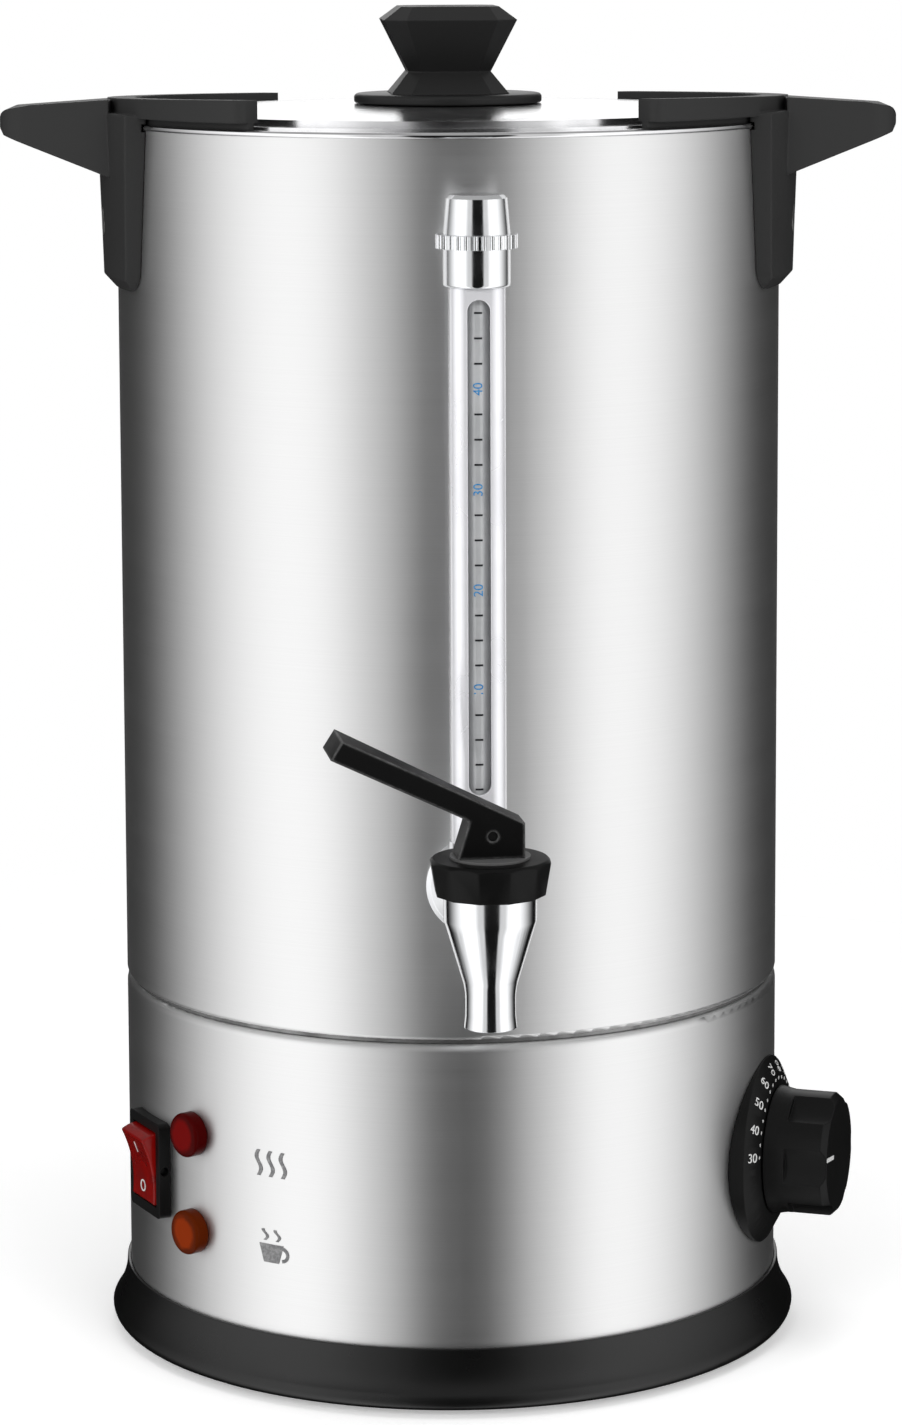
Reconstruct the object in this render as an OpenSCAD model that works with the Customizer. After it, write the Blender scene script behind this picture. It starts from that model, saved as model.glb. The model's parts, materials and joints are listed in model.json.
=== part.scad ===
// Electric coffee urn: double-walled steel body, lift-off lid, tap with a level gauge, side handles
// and a lower housing with a rocker switch, two lamps and a thermostat dial.
// Millimetres. The origin is on the table under the middle of the body, +Z is up and the tap faces -Y.
// Azimuths are in degrees from the tap, positive towards +X.

/* [Body] */
// Outer radius of the steel body
body_r = 113; // [100:1:140]
// Thickness of the sheet steel
shell_t = 0.8; // [0.6:0.1:1.2]
// Height of the seam between the lower housing and the upper shell
seam_z = 124; // [118:1:150]
// Height of the dark groove at the seam
seam_groove = 1.2; // [0.8:0.2:2.4]
// Radius of the rounded shoulder on the lower housing
shoulder_r = 3; // [2:0.5:6]
// Height of the top edge of the upper shell
rim_z = 417.5; // [380:0.5:470]
// Height of the polished rim ring
rim_h = 2; // [1.6:0.2:4]
// Air gap between the shell and the tank
wall_gap = 7.5; // [6.5:0.5:9]
// Height of the tank floor above the seam
tank_lift = 13; // [12:1:30]
// Outer bend radius at the tank floor
tank_bend_r = 10; // [6:1:16]

/* [Base] */
// How far the base skirt flares past the body
skirt_flare = 6.5; // [5:0.5:12]
// Height of the skirt's top edge
skirt_top = 22; // [19:1:30]
// How deep the steel housing sits in the skirt
skirt_grip = 8; // [6:1:10]
// Thickness of the skirt's top lip
skirt_lip = 1.2; // [0.8:0.2:2]
// Rounding under the skirt
skirt_roll = 4; // [2:0.5:5]
// Height of the feet below the skirt
foot_gap = 2; // [1:0.5:4]
// Radius of a rubber foot
foot_r = 10; // [7:1:13]
// Distance of the feet's middles from the body's side
foot_inset = 21; // [18:1:40]
// Thickness of the bottom plate
plate_t = 1.2; // [0.8:0.2:2]

/* [Lid] */
// How far the lid's flange lies on the rim
lid_overlap = 2.1; // [1.5:0.1:2.5]
// Width of the lid's flange
lid_flange_w = 10; // [7:0.5:16]
// Height of the lid's deck above its flange
deck_rise = 2; // [1:0.5:5]
// Height of the dome across the deck
dome_h = 2.2; // [1:0.2:5]
// Depth of the lid's plug in the tank
plug_h = 12; // [6:1:20]
// Radius of the heat shield under the knob
shield_r = 32; // [26:1:40]
// Thickness of that heat shield
shield_t = 3.2; // [2:0.2:5]
// Height of the lid knob
lid_knob_h = 29.5; // [24:0.5:40]
// Width of the lid knob's head
lid_knob_w = 45; // [38:0.5:56]
// Width of the lid knob's waist
lid_knob_waist_w = 28; // [24:0.5:34]

/* [Handles] */
// Length of the grip from the body
wing_l = 38; // [32:1:60]
// Width of the grip where it leaves the body
wing_root_w = 74; // [60:1:84]
// Width of the grip at its tip
wing_tip_w = 58; // [50:1:72]
// Wall thickness of the grip
wing_wall = 3; // [2:0.5:4]
// Height of the grip's edge at its tip
wing_tip_h = 8; // [6:0.5:12]
// Height of the gusset at the body
wing_root_h = 25; // [18:1:34]
// Angle of rim that the hood covers
hood_span = 110; // [90:1:120]
// Turn of both handles off square to the tap
handle_turn = -4; // [-6:0.5:6]
// Height of the hood's side at its front end
hood_h = 7.5; // [5:0.5:10]
// Height of the hood's side at its back end
hood_back_h = 2.6; // [2:0.2:8]
// Gap between the rim and the hood's outer edge
hood_gap = 2.2; // [1.6:0.2:4]
// Width of the leg at its top
leg_top_w = 108; // [90:1:116]
// Width of the leg at its bottom
leg_bottom_w = 96; // [80:1:104]
// Length of the leg below the hood
leg_drop = 58; // [44:1:80]
// Thickness of the leg at its bottom
leg_t = 4.6; // [4:0.2:7]

/* [Tap] */
// Distance of the tap's axis from the body
tap_reach = 61; // [52:1:75]
// Height of the shank above the seam
tap_rise = 53; // [45:1:70]
// Outer radius of the shank
shank_r = 8; // [7:0.25:9]
// Bore radius of the shank
shank_bore_r = 5; // [4:0.25:5.5]
// Radius of the chrome flange on the wall
flange_r = 16; // [13:0.5:20]
// Thickness of that flange
flange_t = 4; // [3:0.5:6]
// Drop of the spout's mouth below the shank
spout_drop = 31.5; // [28:0.5:45]
// Radius of the spout's neck
spout_r = 7.9; // [7:0.1:9]
// Bore radius of the spout
spout_bore_r = 5.5; // [4.5:0.1:6]
// Radius of the tap's cup under the bonnet
cup_r = 14.5; // [13.5:0.5:17]
// Height of the cup's upright side under the bonnet
cup_side_h = 8; // [4:0.5:12]
// Height of the black bonnet
bonnet_h = 11.3; // [10:0.1:15]
// Radius of the bonnet at its top
bonnet_r = 19.1; // [18:0.1:23]
// Radius of the valve stem
stem_r = 3; // [2.5:0.1:3.5]
// Azimuth of the lever at rest
lever_az = -86; // [-90:1:90]
// Reach of the lever from the tap's axis
lever_reach = 47; // [40:1:70]
// Rise of the lever's top from its heel to its tip
lever_rise = 28; // [15:1:40]
// Width of the lever at its tip
lever_tip_w = 22; // [16:1:26]
// Width of the lever's block
lever_block_w = 12.5; // [12:0.5:16]

/* [Gauge] */
// Distance of the gauge's axis from the body
gauge_reach = 14; // [13.5:0.5:16]
// Distance of the gauge's top below the rim
gauge_top_drop = 16.5; // [10:0.5:60]
// Width of the gauge's metal shield
gauge_w = 17.6; // [15:0.2:20]
// Width of the window in the shield
window_w = 7.2; // [5:0.2:8]
// Outer radius of the glass tube
tube_r = 4.8; // [4:0.1:5]
// Wall of the glass tube
tube_wall = 1.2; // [0.8:0.1:1.6]
// Radius of the knurled ring
knurl_r = 13; // [11.5:0.25:13.25]
// Number of flutes on the knurled ring
knurl_n = 30; // [16:1:40]

/* [Controls] */
// Azimuth of the dial
dial_az = 68; // [45:1:75]
// Height of the dial
dial_z = 67; // [62:0.5:78]
// Radius of the dial plate
dial_r = 32; // [28:0.5:36]
// Thickness of the dial plate at its middle
dial_t = 4.2; // [2.6:0.2:6]
// Thickness of the dial plate at its rim
dial_rim_t = 1; // [0.8:0.1:2]
// Width of the dial plate's sloped rim
dial_slope_w = 6.5; // [4:0.5:8]
// Radius of the dial knob
dial_knob_r = 21; // [18:0.5:24]
// Height of the dial knob
dial_knob_h = 21.5; // [20:0.5:34]
// Azimuth of the rocker switch
switch_az = -68; // [-85:1:-60]
// Height of the rocker switch
switch_z = 67; // [55:0.5:75]
// Width of the switch bezel
bezel_w = 26; // [24.5:0.5:30]
// Height of the switch bezel
bezel_h = 33; // [31:0.5:38]
// How far the bezel stands proud
bezel_t = 3.4; // [2.8:0.2:5]
// Rest tilt of the rocker
rocker_tilt = 10; // [6:1:12]
// Angle from the switch to the two lamps
lamp_turn = 14; // [13:0.5:30]
// Height of the heating lamp
heat_lamp_z = 83.5; // [78:0.5:92]
// Height of the keep-warm lamp
warm_lamp_z = 50; // [42:0.5:58]
// Radius of a lamp lens
lamp_r = 7.5; // [6.5:0.25:9]
// How far a lens stands proud
lamp_proud = 5; // [3:0.5:7]
// Height of the cord gland at the back
gland_z = 44; // [36:1:60]
// Bore radius of the cord gland
gland_bore_r = 4.2; // [3:0.1:5.5]

/* [Clearances] */
// Fit between pieces that don't move
seat_gap = 0.1; // [0.05:0.05:0.2]
// Radial running fit of stems and spindles
run_gap = 0.05; // [0.02:0.01:0.08]
// Free space round moving pieces
move_gap = 0.5; // [0.4:0.1:0.8]

/* [Hidden] */
$fn = 64;
big = 1000;
sliver = 0.01;

// Base
skirt_r = body_r + skirt_flare;
skirt_pocket_r = body_r + seat_gap;
lip_r = skirt_pocket_r + skirt_lip;
ledge_z = skirt_top - skirt_grip;
ledge_t = 3;
ledge_w = 10;
ledge_r = body_r - ledge_w;
plate_top = ledge_z - ledge_t;
plate_bottom = plate_top - plate_t;
plate_r = skirt_r - skirt_roll;
flare_dr = skirt_r - lip_r;
flare_dz = skirt_top - foot_gap - skirt_roll;
flare_r = (flare_dr * flare_dr + flare_dz * flare_dz) / (2 * flare_dr);
base_screw_r = 1.5;
base_screw_ring_r = ledge_r + ledge_w / 2;
foot_ring_r = body_r - foot_inset;
foot_stem_r = 3;
foot_stem_out = 2;
vent_n = 12;
vent_l = 26;
vent_w = 4;
vent_ring_r = 46;

// Shells and tank
shell_in_r = body_r - shell_t;
shell_z = seam_z + seam_groove;
shell_edge_r = 1.6;
lip_in_r = body_r - ledge_w;
seam_depth = 1.8;
seam_ring_r = body_r - seam_depth;
tank_r = shell_in_r - wall_gap;
tank_t = shell_t;
tank_in_r = tank_r - tank_t;
tank_floor_z = seam_z + tank_lift;
rim_top = rim_z + rim_h;
rim_tongue = 5;
rim_tongue_t = 1.6;
rim_out_r = body_r + rim_h / 2;

// Heater
heater_r = 72;
heater_t = 5;
heater_z = tank_floor_z - heater_t;
element_ring_r = 54;
element_r = 4;
element_turn = 310;
element_pin_r = 2;
element_pin_l = 16;
element_pin_turn = 4;
cutout_r = 10;
cutout_h = 7;

// Lid
lid_r = tank_in_r + lid_overlap;
flange_top = rim_top + shell_t;
deck_r = lid_r - lid_flange_w;
deck_z = flange_top + deck_rise;
dome_z = deck_z + dome_h;
dome_r = (deck_r * deck_r + dome_h * dome_h) / (2 * dome_h);
dome_facets = 2048;
plug_gap = 1;
plug_r = tank_in_r - plug_gap;
knob_z0 = dome_z + shield_t;
knob_z1 = knob_z0 + lid_knob_h;
knob_foot_w = 40;
knob_waist_h = 7.5;
knob_crown = 4.5;
knob_crown_in = 6;
knob_corner = 1.19;
knob_dish = 1;
lid_screw_r = 3;
lid_screw_head_r = 7;
lid_screw_head_h = 2.9;
lid_screw_depth = 15;

// Handles
wing_reach = body_r + wing_l;
hood_z0 = rim_top + hood_gap;
hood_z1 = hood_z0 + max(hood_h, hood_back_h);
hood_lid_gap = 0.8;
hood_in_r = lid_r + hood_lid_gap;
hood_overhang = 2.8;
hood_out_r = body_r + hood_overhang;
hood_run = 2 * hood_out_r * sin(hood_span / 2);
hood_pitch = atan((hood_h - hood_back_h) / hood_run);
hood_mid_z = hood_z0 + (hood_h + hood_back_h) / 2;
hood_foot_in = 2;
hood_foot_w = 3;
leg_z0 = hood_z0 - leg_drop;
leg_in_r = body_r + seat_gap;
leg_bottom_r = leg_in_r + leg_t;
leg_taper = 1.8;
leg_top_r = leg_bottom_r + leg_taper;
leg_edge_t = 1;
leg_chamfer = 4;
leg_corner_r = 8;
leg_lap = 1;
rim_clear = 0.3;
wing_step = 0.5;
wing_top = hood_mid_z - wing_step;
wing_fall = 2.5;
wing_fall_angle = atan(wing_fall / wing_l);
wing_tip_z = wing_top - wing_fall - wing_tip_h;
wing_corner_r = 12;
handle_screw_r = 2.5;
handle_screw_az = 9;
handle_screw_rise = 22;
handle_screw_z = leg_z0 + handle_screw_rise;
handle_screw_sink = 1.5;
handle_screw_head_r = 2 * handle_screw_r;
handle_screw_head_h = 2;

// Tap
tap_axis = body_r + tap_reach;
tap_z = seam_z + tap_rise;
boss_wall = 2.5;
boss_r = shank_r + boss_wall;
boss_l = 24;
boss_seat = 13;
spout_z = tap_z - spout_drop;
spout_flare = 0.4;
spout_lip = 4;
spout_straight = 12;
neck_z = spout_z + spout_straight;
bonnet_clear = 0.2;
bonnet_z0 = tap_z + boss_r + bonnet_clear;
bonnet_top = bonnet_z0 + bonnet_h;
bonnet_lip = 2.9;
bonnet_low_r = cup_r + bonnet_lip;
bonnet_roof = 5;
bonnet_facets = 12;
cap_z = bonnet_top - bonnet_roof;
cup_wall = 2.3;
seat_rise = 8.5;
seat_z = neck_z + seat_rise;
seat_ledge = 1.9;
seat_r = spout_bore_r + seat_ledge;
seal_clear = 0.6;
seal_cup_r = seat_r - seal_clear;
seal_cup_h = 5;
seal_floor = 1;
stem_disc_z = seat_z + seal_cup_h;
stem_disc_t = 1.2;
spring_wire_r = 0.6;
spring_clear = 1.1;
spring_r = stem_r + spring_clear + spring_wire_r;
spring_turns = 6;
washer_r = 12.5;
washer_t = 0.8;
block_z0 = bonnet_top + washer_t;
pin_rise = 7;
pin_z = block_z0 + pin_rise;
pin_r = 1.5;
block_back = 10;
block_front = 11;
block_h = 11;
lever_t = 7.6;
lever_lean = 3.6;
heel_z = block_z0 + block_h;
tip_z = heel_z + lever_rise;
lever_slope = lever_rise / (lever_reach + block_back);
lever_under_d = 7.3;
slot_gap = 0.3;
slot_play = 2.6;
slot_d = stem_r + slot_play;
slot_roof = 4;
shank_inside = 13;
shank_in_r = tank_in_r - shank_inside;
shank_shoulder = 3;
seal_w = 5;
gasket_t = 2;
seal_bow = 1.2;
seal_face = tank_in_r - gasket_t - seal_bow;
nut_w = 6;
nut_t = 6;

// Gauge
gauge_axis = body_r + gauge_reach;
gauge_top = rim_z - gauge_top_drop;
cap_h = 12.5;
knurl_h = 4.4;
flute_r = 0.8;
flute_out = 0.2;
collar_h = 12.2;
gauge_cap_z = gauge_top - cap_h;
knurl_z = gauge_cap_z - knurl_h;
collar_z = knurl_z - collar_h;
collar_r = 10.7;
gauge_cap_r = 9.7;
gauge_d = 16;
gauge_corner_r = 5;
gauge_sheet = 1.4;
tee_r = 9.4;
tee_reach = 9.5;
tee_end = gauge_axis + tee_reach;
tee_rise = 9.6;
shield_z0 = tap_z + shank_r + tee_rise;
tube_ledge = 2;
tube_z0 = tap_z + shank_r + tube_ledge + gasket_t;
tube_z1 = gauge_cap_z + cap_h / 2;
tube_bore_r = tube_r - tube_wall;
window_low = 16;
window_high = 3.6;
window_z0 = shield_z0 + window_low;
window_z1 = collar_z - window_high;

// Controls
dial_face = body_r + dial_t;
bush_r = 6;
bush_shoulder = 4;
bush_set = 1;
spindle_r = 3;
spindle_in = 24;
spindle_end = 2;
spindle_grip = 15.5;
thermostat_w = 34;
thermostat_d = 26;
thermostat_corner_r = 3;
thermostat_set = 14;
thermostat_front = body_r - thermostat_set;
knob_seat = dial_face + move_gap;
dial_scallops = 6;
scallop_r = 13;
scallop_cut = 2.5;
bezel_face = body_r + bezel_t;
bezel_corner_r = 2;
rocker_w = 19;
rocker_r = 12.6;
rocker_depth = 4;
rocker_dish_r = 40;
rocker_face = 3.2;
rocker_set = 2;
rocker_axis = bezel_face - rocker_set;
rocker_pin_r = 1.5;
rocker_pin_l = 1.4;
pocket_w = rocker_w + 2 * move_gap;
pocket_h = 2 * (rocker_r + move_gap);
pocket_depth = 12;
switch_wall = 1.2;
switch_box_w = pocket_w + 2 * switch_wall;
switch_box_h = pocket_h + 2 * switch_wall;
switch_box_depth = 27;
switch_tab_n = 3;
lamp_az = switch_az + lamp_turn;
lamp_shoulder = 2;
lamp_barrel_r = lamp_r - lamp_shoulder;
lamp_barrel_l = 9;
lamp_holder_lip = 0.5;
lamp_holder_r = lamp_r + lamp_holder_lip;
lamp_holder_l = 20;
gland_wall = 4.3;
gland_r = gland_bore_r + gland_wall;
gland_flange_w = 3.5;
gland_flange_r = gland_r + gland_flange_w;
gland_flange_t = 4;
gland_l = 14;
gland_nut_t = 6;
block_w = 44;
block_d = 22;
block_t = 18;
block_inset = 47;
block_y = body_r - block_inset;
bulb_r = 3;
bulb_l = 60;
bulb_y = 30;
capillary_r = 1;
capillary_gap = 1.5;
capillary_turn = 5;

// Turns a piece drawn at the front, facing -Y, to an azimuth and lifts it
module at_azimuth(az, z = 0) {
    rotate([0, 0, az]) translate([0, 0, z]) children();
}

// A round bar that points out of the front, between two distances from the middle
module bar_out(r, from, to) {
    translate([0, -from, 0]) rotate([90, 0, 0]) cylinder(h = to - from, r = r);
}

// A flat shape that faces out of the front, between two distances from the middle
module plate_out(from, to) {
    translate([0, -from, 0]) rotate([90, 0, 0]) linear_extrude(to - from) children();
}

// A profile turned about an axis that points out of the front
module turned_out() {
    rotate([90, 0, 0]) rotate_extrude() children();
}

// A full-height cylinder on the body's axis, for seating pieces on the curved wall
module wall_cylinder(r) {
    translate([0, 0, -big]) cylinder(h = 2 * big, r = r, $fn = 256);
}

// A flat washer on the axis
module ring(r_in, r_out, z0, z1) {
    difference() {
        translate([0, 0, z0]) cylinder(h = z1 - z0, r = r_out);
        translate([0, 0, z0 - 1]) cylinder(h = z1 - z0 + 2, r = r_in);
    }
}

// A rectangle with round corners, about its middle
module rounded_rect(w, h, r) {
    square([w - 2 * r, h], center = true);
    square([w, h - 2 * r], center = true);
    for (x = [-1, 1], y = [-1, 1]) translate([x * (w / 2 - r), y * (h / 2 - r)]) circle(r);
}

// A slot with round ends along X
module slot_2d(l, w) {
    square([l - w, w], center = true);
    for (x = [-1, 1]) translate([x * (l - w) / 2, 0]) circle(w / 2);
}

// A quarter of a bent sheet, with its centre at c and its bulge towards +X and up or down
module quarter_bend(c, r, t, up) {
    translate(c) intersection() {
        difference() {
            circle(r);
            circle(r - t);
        }
        translate([0, up > 0 ? 0 : -2 * r]) square(2 * r);
    }
}

// A thin tube through a list of points, with round joints
module tube_path(points, r) {
    for (i = [0 : len(points) - 2]) {
        a = points[i];
        v = points[i + 1] - a;
        l = norm(v);
        translate(a) rotate([0, acos(v[2] / l), atan2(v[1], v[0])]) cylinder(h = l, r = r);
        if (i > 0) translate(a) sphere(r + sliver);
    }
}

// A convex outline whose corners are rounded, each with its own radius
module rounded_outline(points, radii) {
    n = len(points);
    unit = function (v) v / norm(v);
    back = [for (i = [0 : n - 1]) unit(points[(i + n - 1) % n] - points[i])];
    on = [for (i = [0 : n - 1]) unit(points[(i + 1) % n] - points[i])];
    half = [for (i = [0 : n - 1]) acos(back[i] * on[i]) / 2];
    polygon([for (i = [0 : n - 1]) let (d = radii[i] / tan(half[i]))
        each radii[i] > 0 ? [points[i] + d * back[i], points[i] + d * on[i]] : [points[i]]]);
    for (i = [0 : n - 1]) if (radii[i] > 0)
        translate(points[i] + unit(back[i] + on[i]) * radii[i] / sin(half[i])) circle(radii[i]);
}

// Base

module base_skirt() {
    color([0.06, 0.06, 0.065]) difference() {
        rotate_extrude() difference() {
            translate([ledge_r, foot_gap]) square([skirt_r - ledge_r, skirt_top - foot_gap]);
            translate([lip_r + flare_r, skirt_top]) circle(flare_r);
            translate([skirt_r - skirt_roll, foot_gap]) difference() {
                square(2 * skirt_roll);
                translate([0, skirt_roll]) circle(skirt_roll);
                translate([-skirt_roll, skirt_roll]) square(2 * skirt_roll);
            }
            translate([0, ledge_z]) square([skirt_pocket_r, big]);
            translate([0, foot_gap - 1]) square([plate_r, plate_top - foot_gap + 1]);
        }
        base_screw_places() cylinder(h = big, r = base_screw_r + seat_gap, center = true);
    }
}

module base_screw_places() {
    for (az = [0 : 90 : 270]) rotate([0, 0, az]) translate([base_screw_ring_r, 0, 0]) children();
}

module foot_places() {
    for (az = [45 : 90 : 315]) rotate([0, 0, az]) translate([foot_ring_r, 0, 0]) children();
}

module base_plate() {
    color([0.62, 0.63, 0.64]) translate([0, 0, plate_bottom]) linear_extrude(plate_t) difference() {
        circle(plate_r - seat_gap);
        base_screw_places() circle(base_screw_r + seat_gap);
        foot_places() circle(foot_stem_r + seat_gap);
        for (i = [0 : vent_n - 1]) rotate(i * 360 / vent_n)
            translate([vent_ring_r, 0]) slot_2d(vent_l, vent_w);
    }
}

module base_feet() {
    color([0.1, 0.1, 0.1]) foot_places() rotate_extrude() {
        foot_roll = 1.5;
        translate([0, foot_roll]) square([foot_r, plate_bottom - foot_roll]);
        square([foot_r - foot_roll, foot_roll + sliver]);
        translate([foot_r - foot_roll, foot_roll]) circle(foot_roll);
        square([foot_stem_r, plate_top + foot_stem_out]);
    }
}

module base_screws() {
    head_r = 3;
    head_h = 2;
    color([0.75, 0.75, 0.76]) base_screw_places() {
        translate([0, 0, plate_bottom - head_h]) cylinder(h = head_h, r = head_r);
        translate([0, 0, plate_bottom - sliver]) cylinder(h = ledge_z - plate_bottom, r = base_screw_r);
    }
}

// Steel body

module lower_housing() {
    color([0.72, 0.72, 0.73]) difference() {
        rotate_extrude() {
            translate([shell_in_r, ledge_z]) square([shell_t, seam_z - shoulder_r - ledge_z]);
            quarter_bend([body_r - shoulder_r, seam_z - shoulder_r], shoulder_r, shell_t, 1);
            translate([lip_in_r, seam_z - shell_t]) square([body_r - shoulder_r - lip_in_r, shell_t]);
        }
        at_azimuth(switch_az, switch_z) plate_out(body_r - ledge_w, body_r + ledge_w)
            square([switch_box_w + 2 * seat_gap, switch_box_h + 2 * seat_gap], center = true);
        for (z = [heat_lamp_z, warm_lamp_z])
            at_azimuth(lamp_az, z) bar_out(lamp_barrel_r + seat_gap, body_r - ledge_w, body_r + ledge_w);
        at_azimuth(dial_az, dial_z) bar_out(bush_r + seat_gap, body_r - ledge_w, body_r + ledge_w);
        at_azimuth(180, gland_z) bar_out(gland_r + seat_gap, body_r - ledge_w, body_r + ledge_w);
    }
}

module seam_ring() {
    color([0.2, 0.2, 0.21]) ring(lip_in_r, seam_ring_r, seam_z, shell_z);
}

module outer_shell() {
    color([0.74, 0.74, 0.75]) difference() {
        rotate_extrude() {
            translate([shell_in_r, shell_z + shell_edge_r])
                square([shell_t, rim_z - shell_z - shell_edge_r]);
            quarter_bend([body_r - shell_edge_r, shell_z + shell_edge_r], shell_edge_r, shell_t, -1);
            translate([lip_in_r, shell_z]) square([body_r - shell_edge_r - lip_in_r, shell_t]);
        }
        at_azimuth(0, tap_z) bar_out(shank_r + seat_gap, tank_r, body_r + ledge_w);
        handle_screw_places() bar_out(handle_screw_r + seat_gap, tank_r, body_r + ledge_w);
    }
}

module rim_ring() {
    bull = rim_h / 2;
    color([0.85, 0.85, 0.86]) rotate_extrude() {
        translate([tank_in_r, rim_z]) square([body_r - tank_in_r, rim_h]);
        translate([body_r, rim_z + bull]) circle(bull);
        translate([tank_r + seat_gap, rim_z - rim_tongue]) square([rim_tongue_t, rim_tongue + sliver]);
        translate([shell_in_r - seat_gap - rim_tongue_t, rim_z - rim_tongue])
            square([rim_tongue_t, rim_tongue + sliver]);
    }
}

module tank() {
    color([0.78, 0.78, 0.79]) difference() {
        rotate_extrude() {
            translate([tank_in_r, tank_floor_z + tank_bend_r])
                square([tank_t, rim_z - tank_floor_z - tank_bend_r]);
            quarter_bend([tank_r - tank_bend_r, tank_floor_z + tank_bend_r], tank_bend_r, tank_t, -1);
            translate([0, tank_floor_z]) square([tank_r - tank_bend_r, tank_t]);
        }
        at_azimuth(0, tap_z) bar_out(shank_r + seat_gap, tank_in_r - ledge_w, tank_r + 1);
    }
}

// Heating parts under the tank

module heater_plate() {
    color([0.68, 0.69, 0.7]) difference() {
        translate([0, 0, heater_z]) cylinder(h = heater_t, r = heater_r);
        translate([0, 0, heater_z]) rotate_extrude()
            translate([element_ring_r, 0]) circle(element_r + seat_gap);
    }
}

module heater_element() {
    gap = (360 - element_turn) / 2;
    color([0.35, 0.33, 0.32]) translate([0, 0, heater_z]) {
        rotate([0, 0, 90 + gap]) rotate_extrude(angle = element_turn)
            translate([element_ring_r, 0]) circle(element_r);
        for (side = [-1, 1]) rotate([0, 0, 90 + side * (gap + element_pin_turn)])
            translate([element_ring_r, 0, -element_pin_l]) cylinder(h = element_pin_l, r = element_pin_r);
    }
}

module dry_boil_cutout() {
    tab_w = 5;
    tab_l = 8;
    tab_t = 0.8;
    color([0.86, 0.84, 0.78]) {
        translate([0, 0, heater_z - cutout_h]) cylinder(h = cutout_h, r = cutout_r);
        for (x = [-1, 1]) translate([x * tab_w - tab_t / 2, -tab_w / 2, heater_z - cutout_h - tab_l])
            cube([tab_t, tab_w, tab_l + 1]);
    }
}

module thermostat_body() {
    color([0.88, 0.88, 0.86]) at_azimuth(dial_az, dial_z) difference() {
        union() {
            plate_out(thermostat_front - thermostat_d, thermostat_front)
                rounded_rect(thermostat_w, thermostat_w, thermostat_corner_r);
            bar_out(bush_r, thermostat_front - sliver, dial_face - bush_set);
            intersection() {
                bar_out(bush_r + bush_shoulder, thermostat_front - sliver, body_r);
                wall_cylinder(shell_in_r - seat_gap);
            }
        }
        bar_out(spindle_r + run_gap, thermostat_front - spindle_in, dial_face);
    }
}

// The bulb lies under the heater plate, inside the ring, and its capillary passes below the ring
module thermostat_bulb() {
    bulb_z = heater_z - bulb_r - seat_gap;
    pass_z = heater_z - element_r - capillary_r - capillary_gap;
    start_d = thermostat_front - thermostat_d / 2;
    start = [start_d * sin(dial_az), -start_d * cos(dial_az)];
    turn_x = bulb_l / 2 + capillary_turn;
    color([0.8, 0.5, 0.3]) {
        translate([-bulb_l / 2, bulb_y, bulb_z]) rotate([0, 90, 0]) cylinder(h = bulb_l, r = bulb_r);
        tube_path([
            [start[0], start[1], dial_z + thermostat_w / 2], [start[0], start[1], pass_z],
            [turn_x, bulb_y, pass_z], [turn_x, bulb_y, bulb_z], [bulb_l / 2 - 1, bulb_y, bulb_z]
        ], capillary_r);
    }
}

// Controls on the lower housing

module dial_plate() {
    edge = 0.5;
    rim = body_r + dial_rim_t;
    color([0.05, 0.05, 0.055]) difference() {
        at_azimuth(dial_az, dial_z) turned_out() polygon([
            [bush_r + seat_gap, body_r - ledge_w], [dial_r, body_r - ledge_w], [dial_r, rim - edge],
            [dial_r - edge, rim], [dial_r - dial_slope_w, dial_face], [bush_r + seat_gap, dial_face]
        ]);
        wall_cylinder(body_r + seat_gap);
    }
}

module dial_knob() {
    edge = 2;
    skirt = 5;
    lead = 2;
    flare = 1;
    front = knob_seat + dial_knob_h;
    color([0.06, 0.06, 0.065]) at_azimuth(dial_az, dial_z) difference() {
        turned_out() polygon([
            [0, knob_seat], [dial_knob_r + flare, knob_seat], [dial_knob_r, knob_seat + skirt],
            [dial_knob_r, front - edge], [dial_knob_r - edge, front], [0, front]
        ]);
        for (i = [0 : dial_scallops - 1]) rotate([0, i * 360 / dial_scallops, 0])
            translate([dial_knob_r + scallop_r - scallop_cut, 0, 0])
                bar_out(scallop_r, knob_seat + skirt + lead, front + 1);
        bar_out(spindle_r, knob_seat - 1, knob_seat + spindle_grip + sliver);
        bar_out(bush_r + move_gap, knob_seat - 1, knob_seat + 1);
    }
}

module thermostat_spindle() {
    color([0.7, 0.62, 0.4]) at_azimuth(dial_az, dial_z)
        bar_out(spindle_r - sliver, thermostat_front - spindle_in + spindle_end, knob_seat + spindle_grip);
}

module switch_frame() {
    tab = [0.8, 9, 6];
    tab_pitch = 8;
    back = bezel_face - switch_box_depth;
    color([0.05, 0.05, 0.05]) difference() {
        union() {
            difference() {
                at_azimuth(switch_az, switch_z) plate_out(body_r - ledge_w, bezel_face)
                    rounded_rect(bezel_w, bezel_h, bezel_corner_r);
                wall_cylinder(body_r + seat_gap);
            }
            at_azimuth(switch_az, switch_z) plate_out(back, bezel_face - 1)
                square([switch_box_w, switch_box_h], center = true);
        }
        at_azimuth(switch_az, switch_z) {
            plate_out(bezel_face - pocket_depth, bezel_face + 1)
                square([pocket_w, pocket_h], center = true);
            translate([0, -rocker_axis, 0]) rotate([0, 90, 0])
                cylinder(h = 2 * switch_box_w, r = rocker_pin_r + run_gap, center = true);
        }
    }
    color([0.75, 0.65, 0.4]) at_azimuth(switch_az, switch_z) for (i = [0 : switch_tab_n - 1])
        translate([-tab[0] / 2, -back, (i - 1) * tab_pitch - tab[2] / 2]) cube(tab);
}

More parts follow.
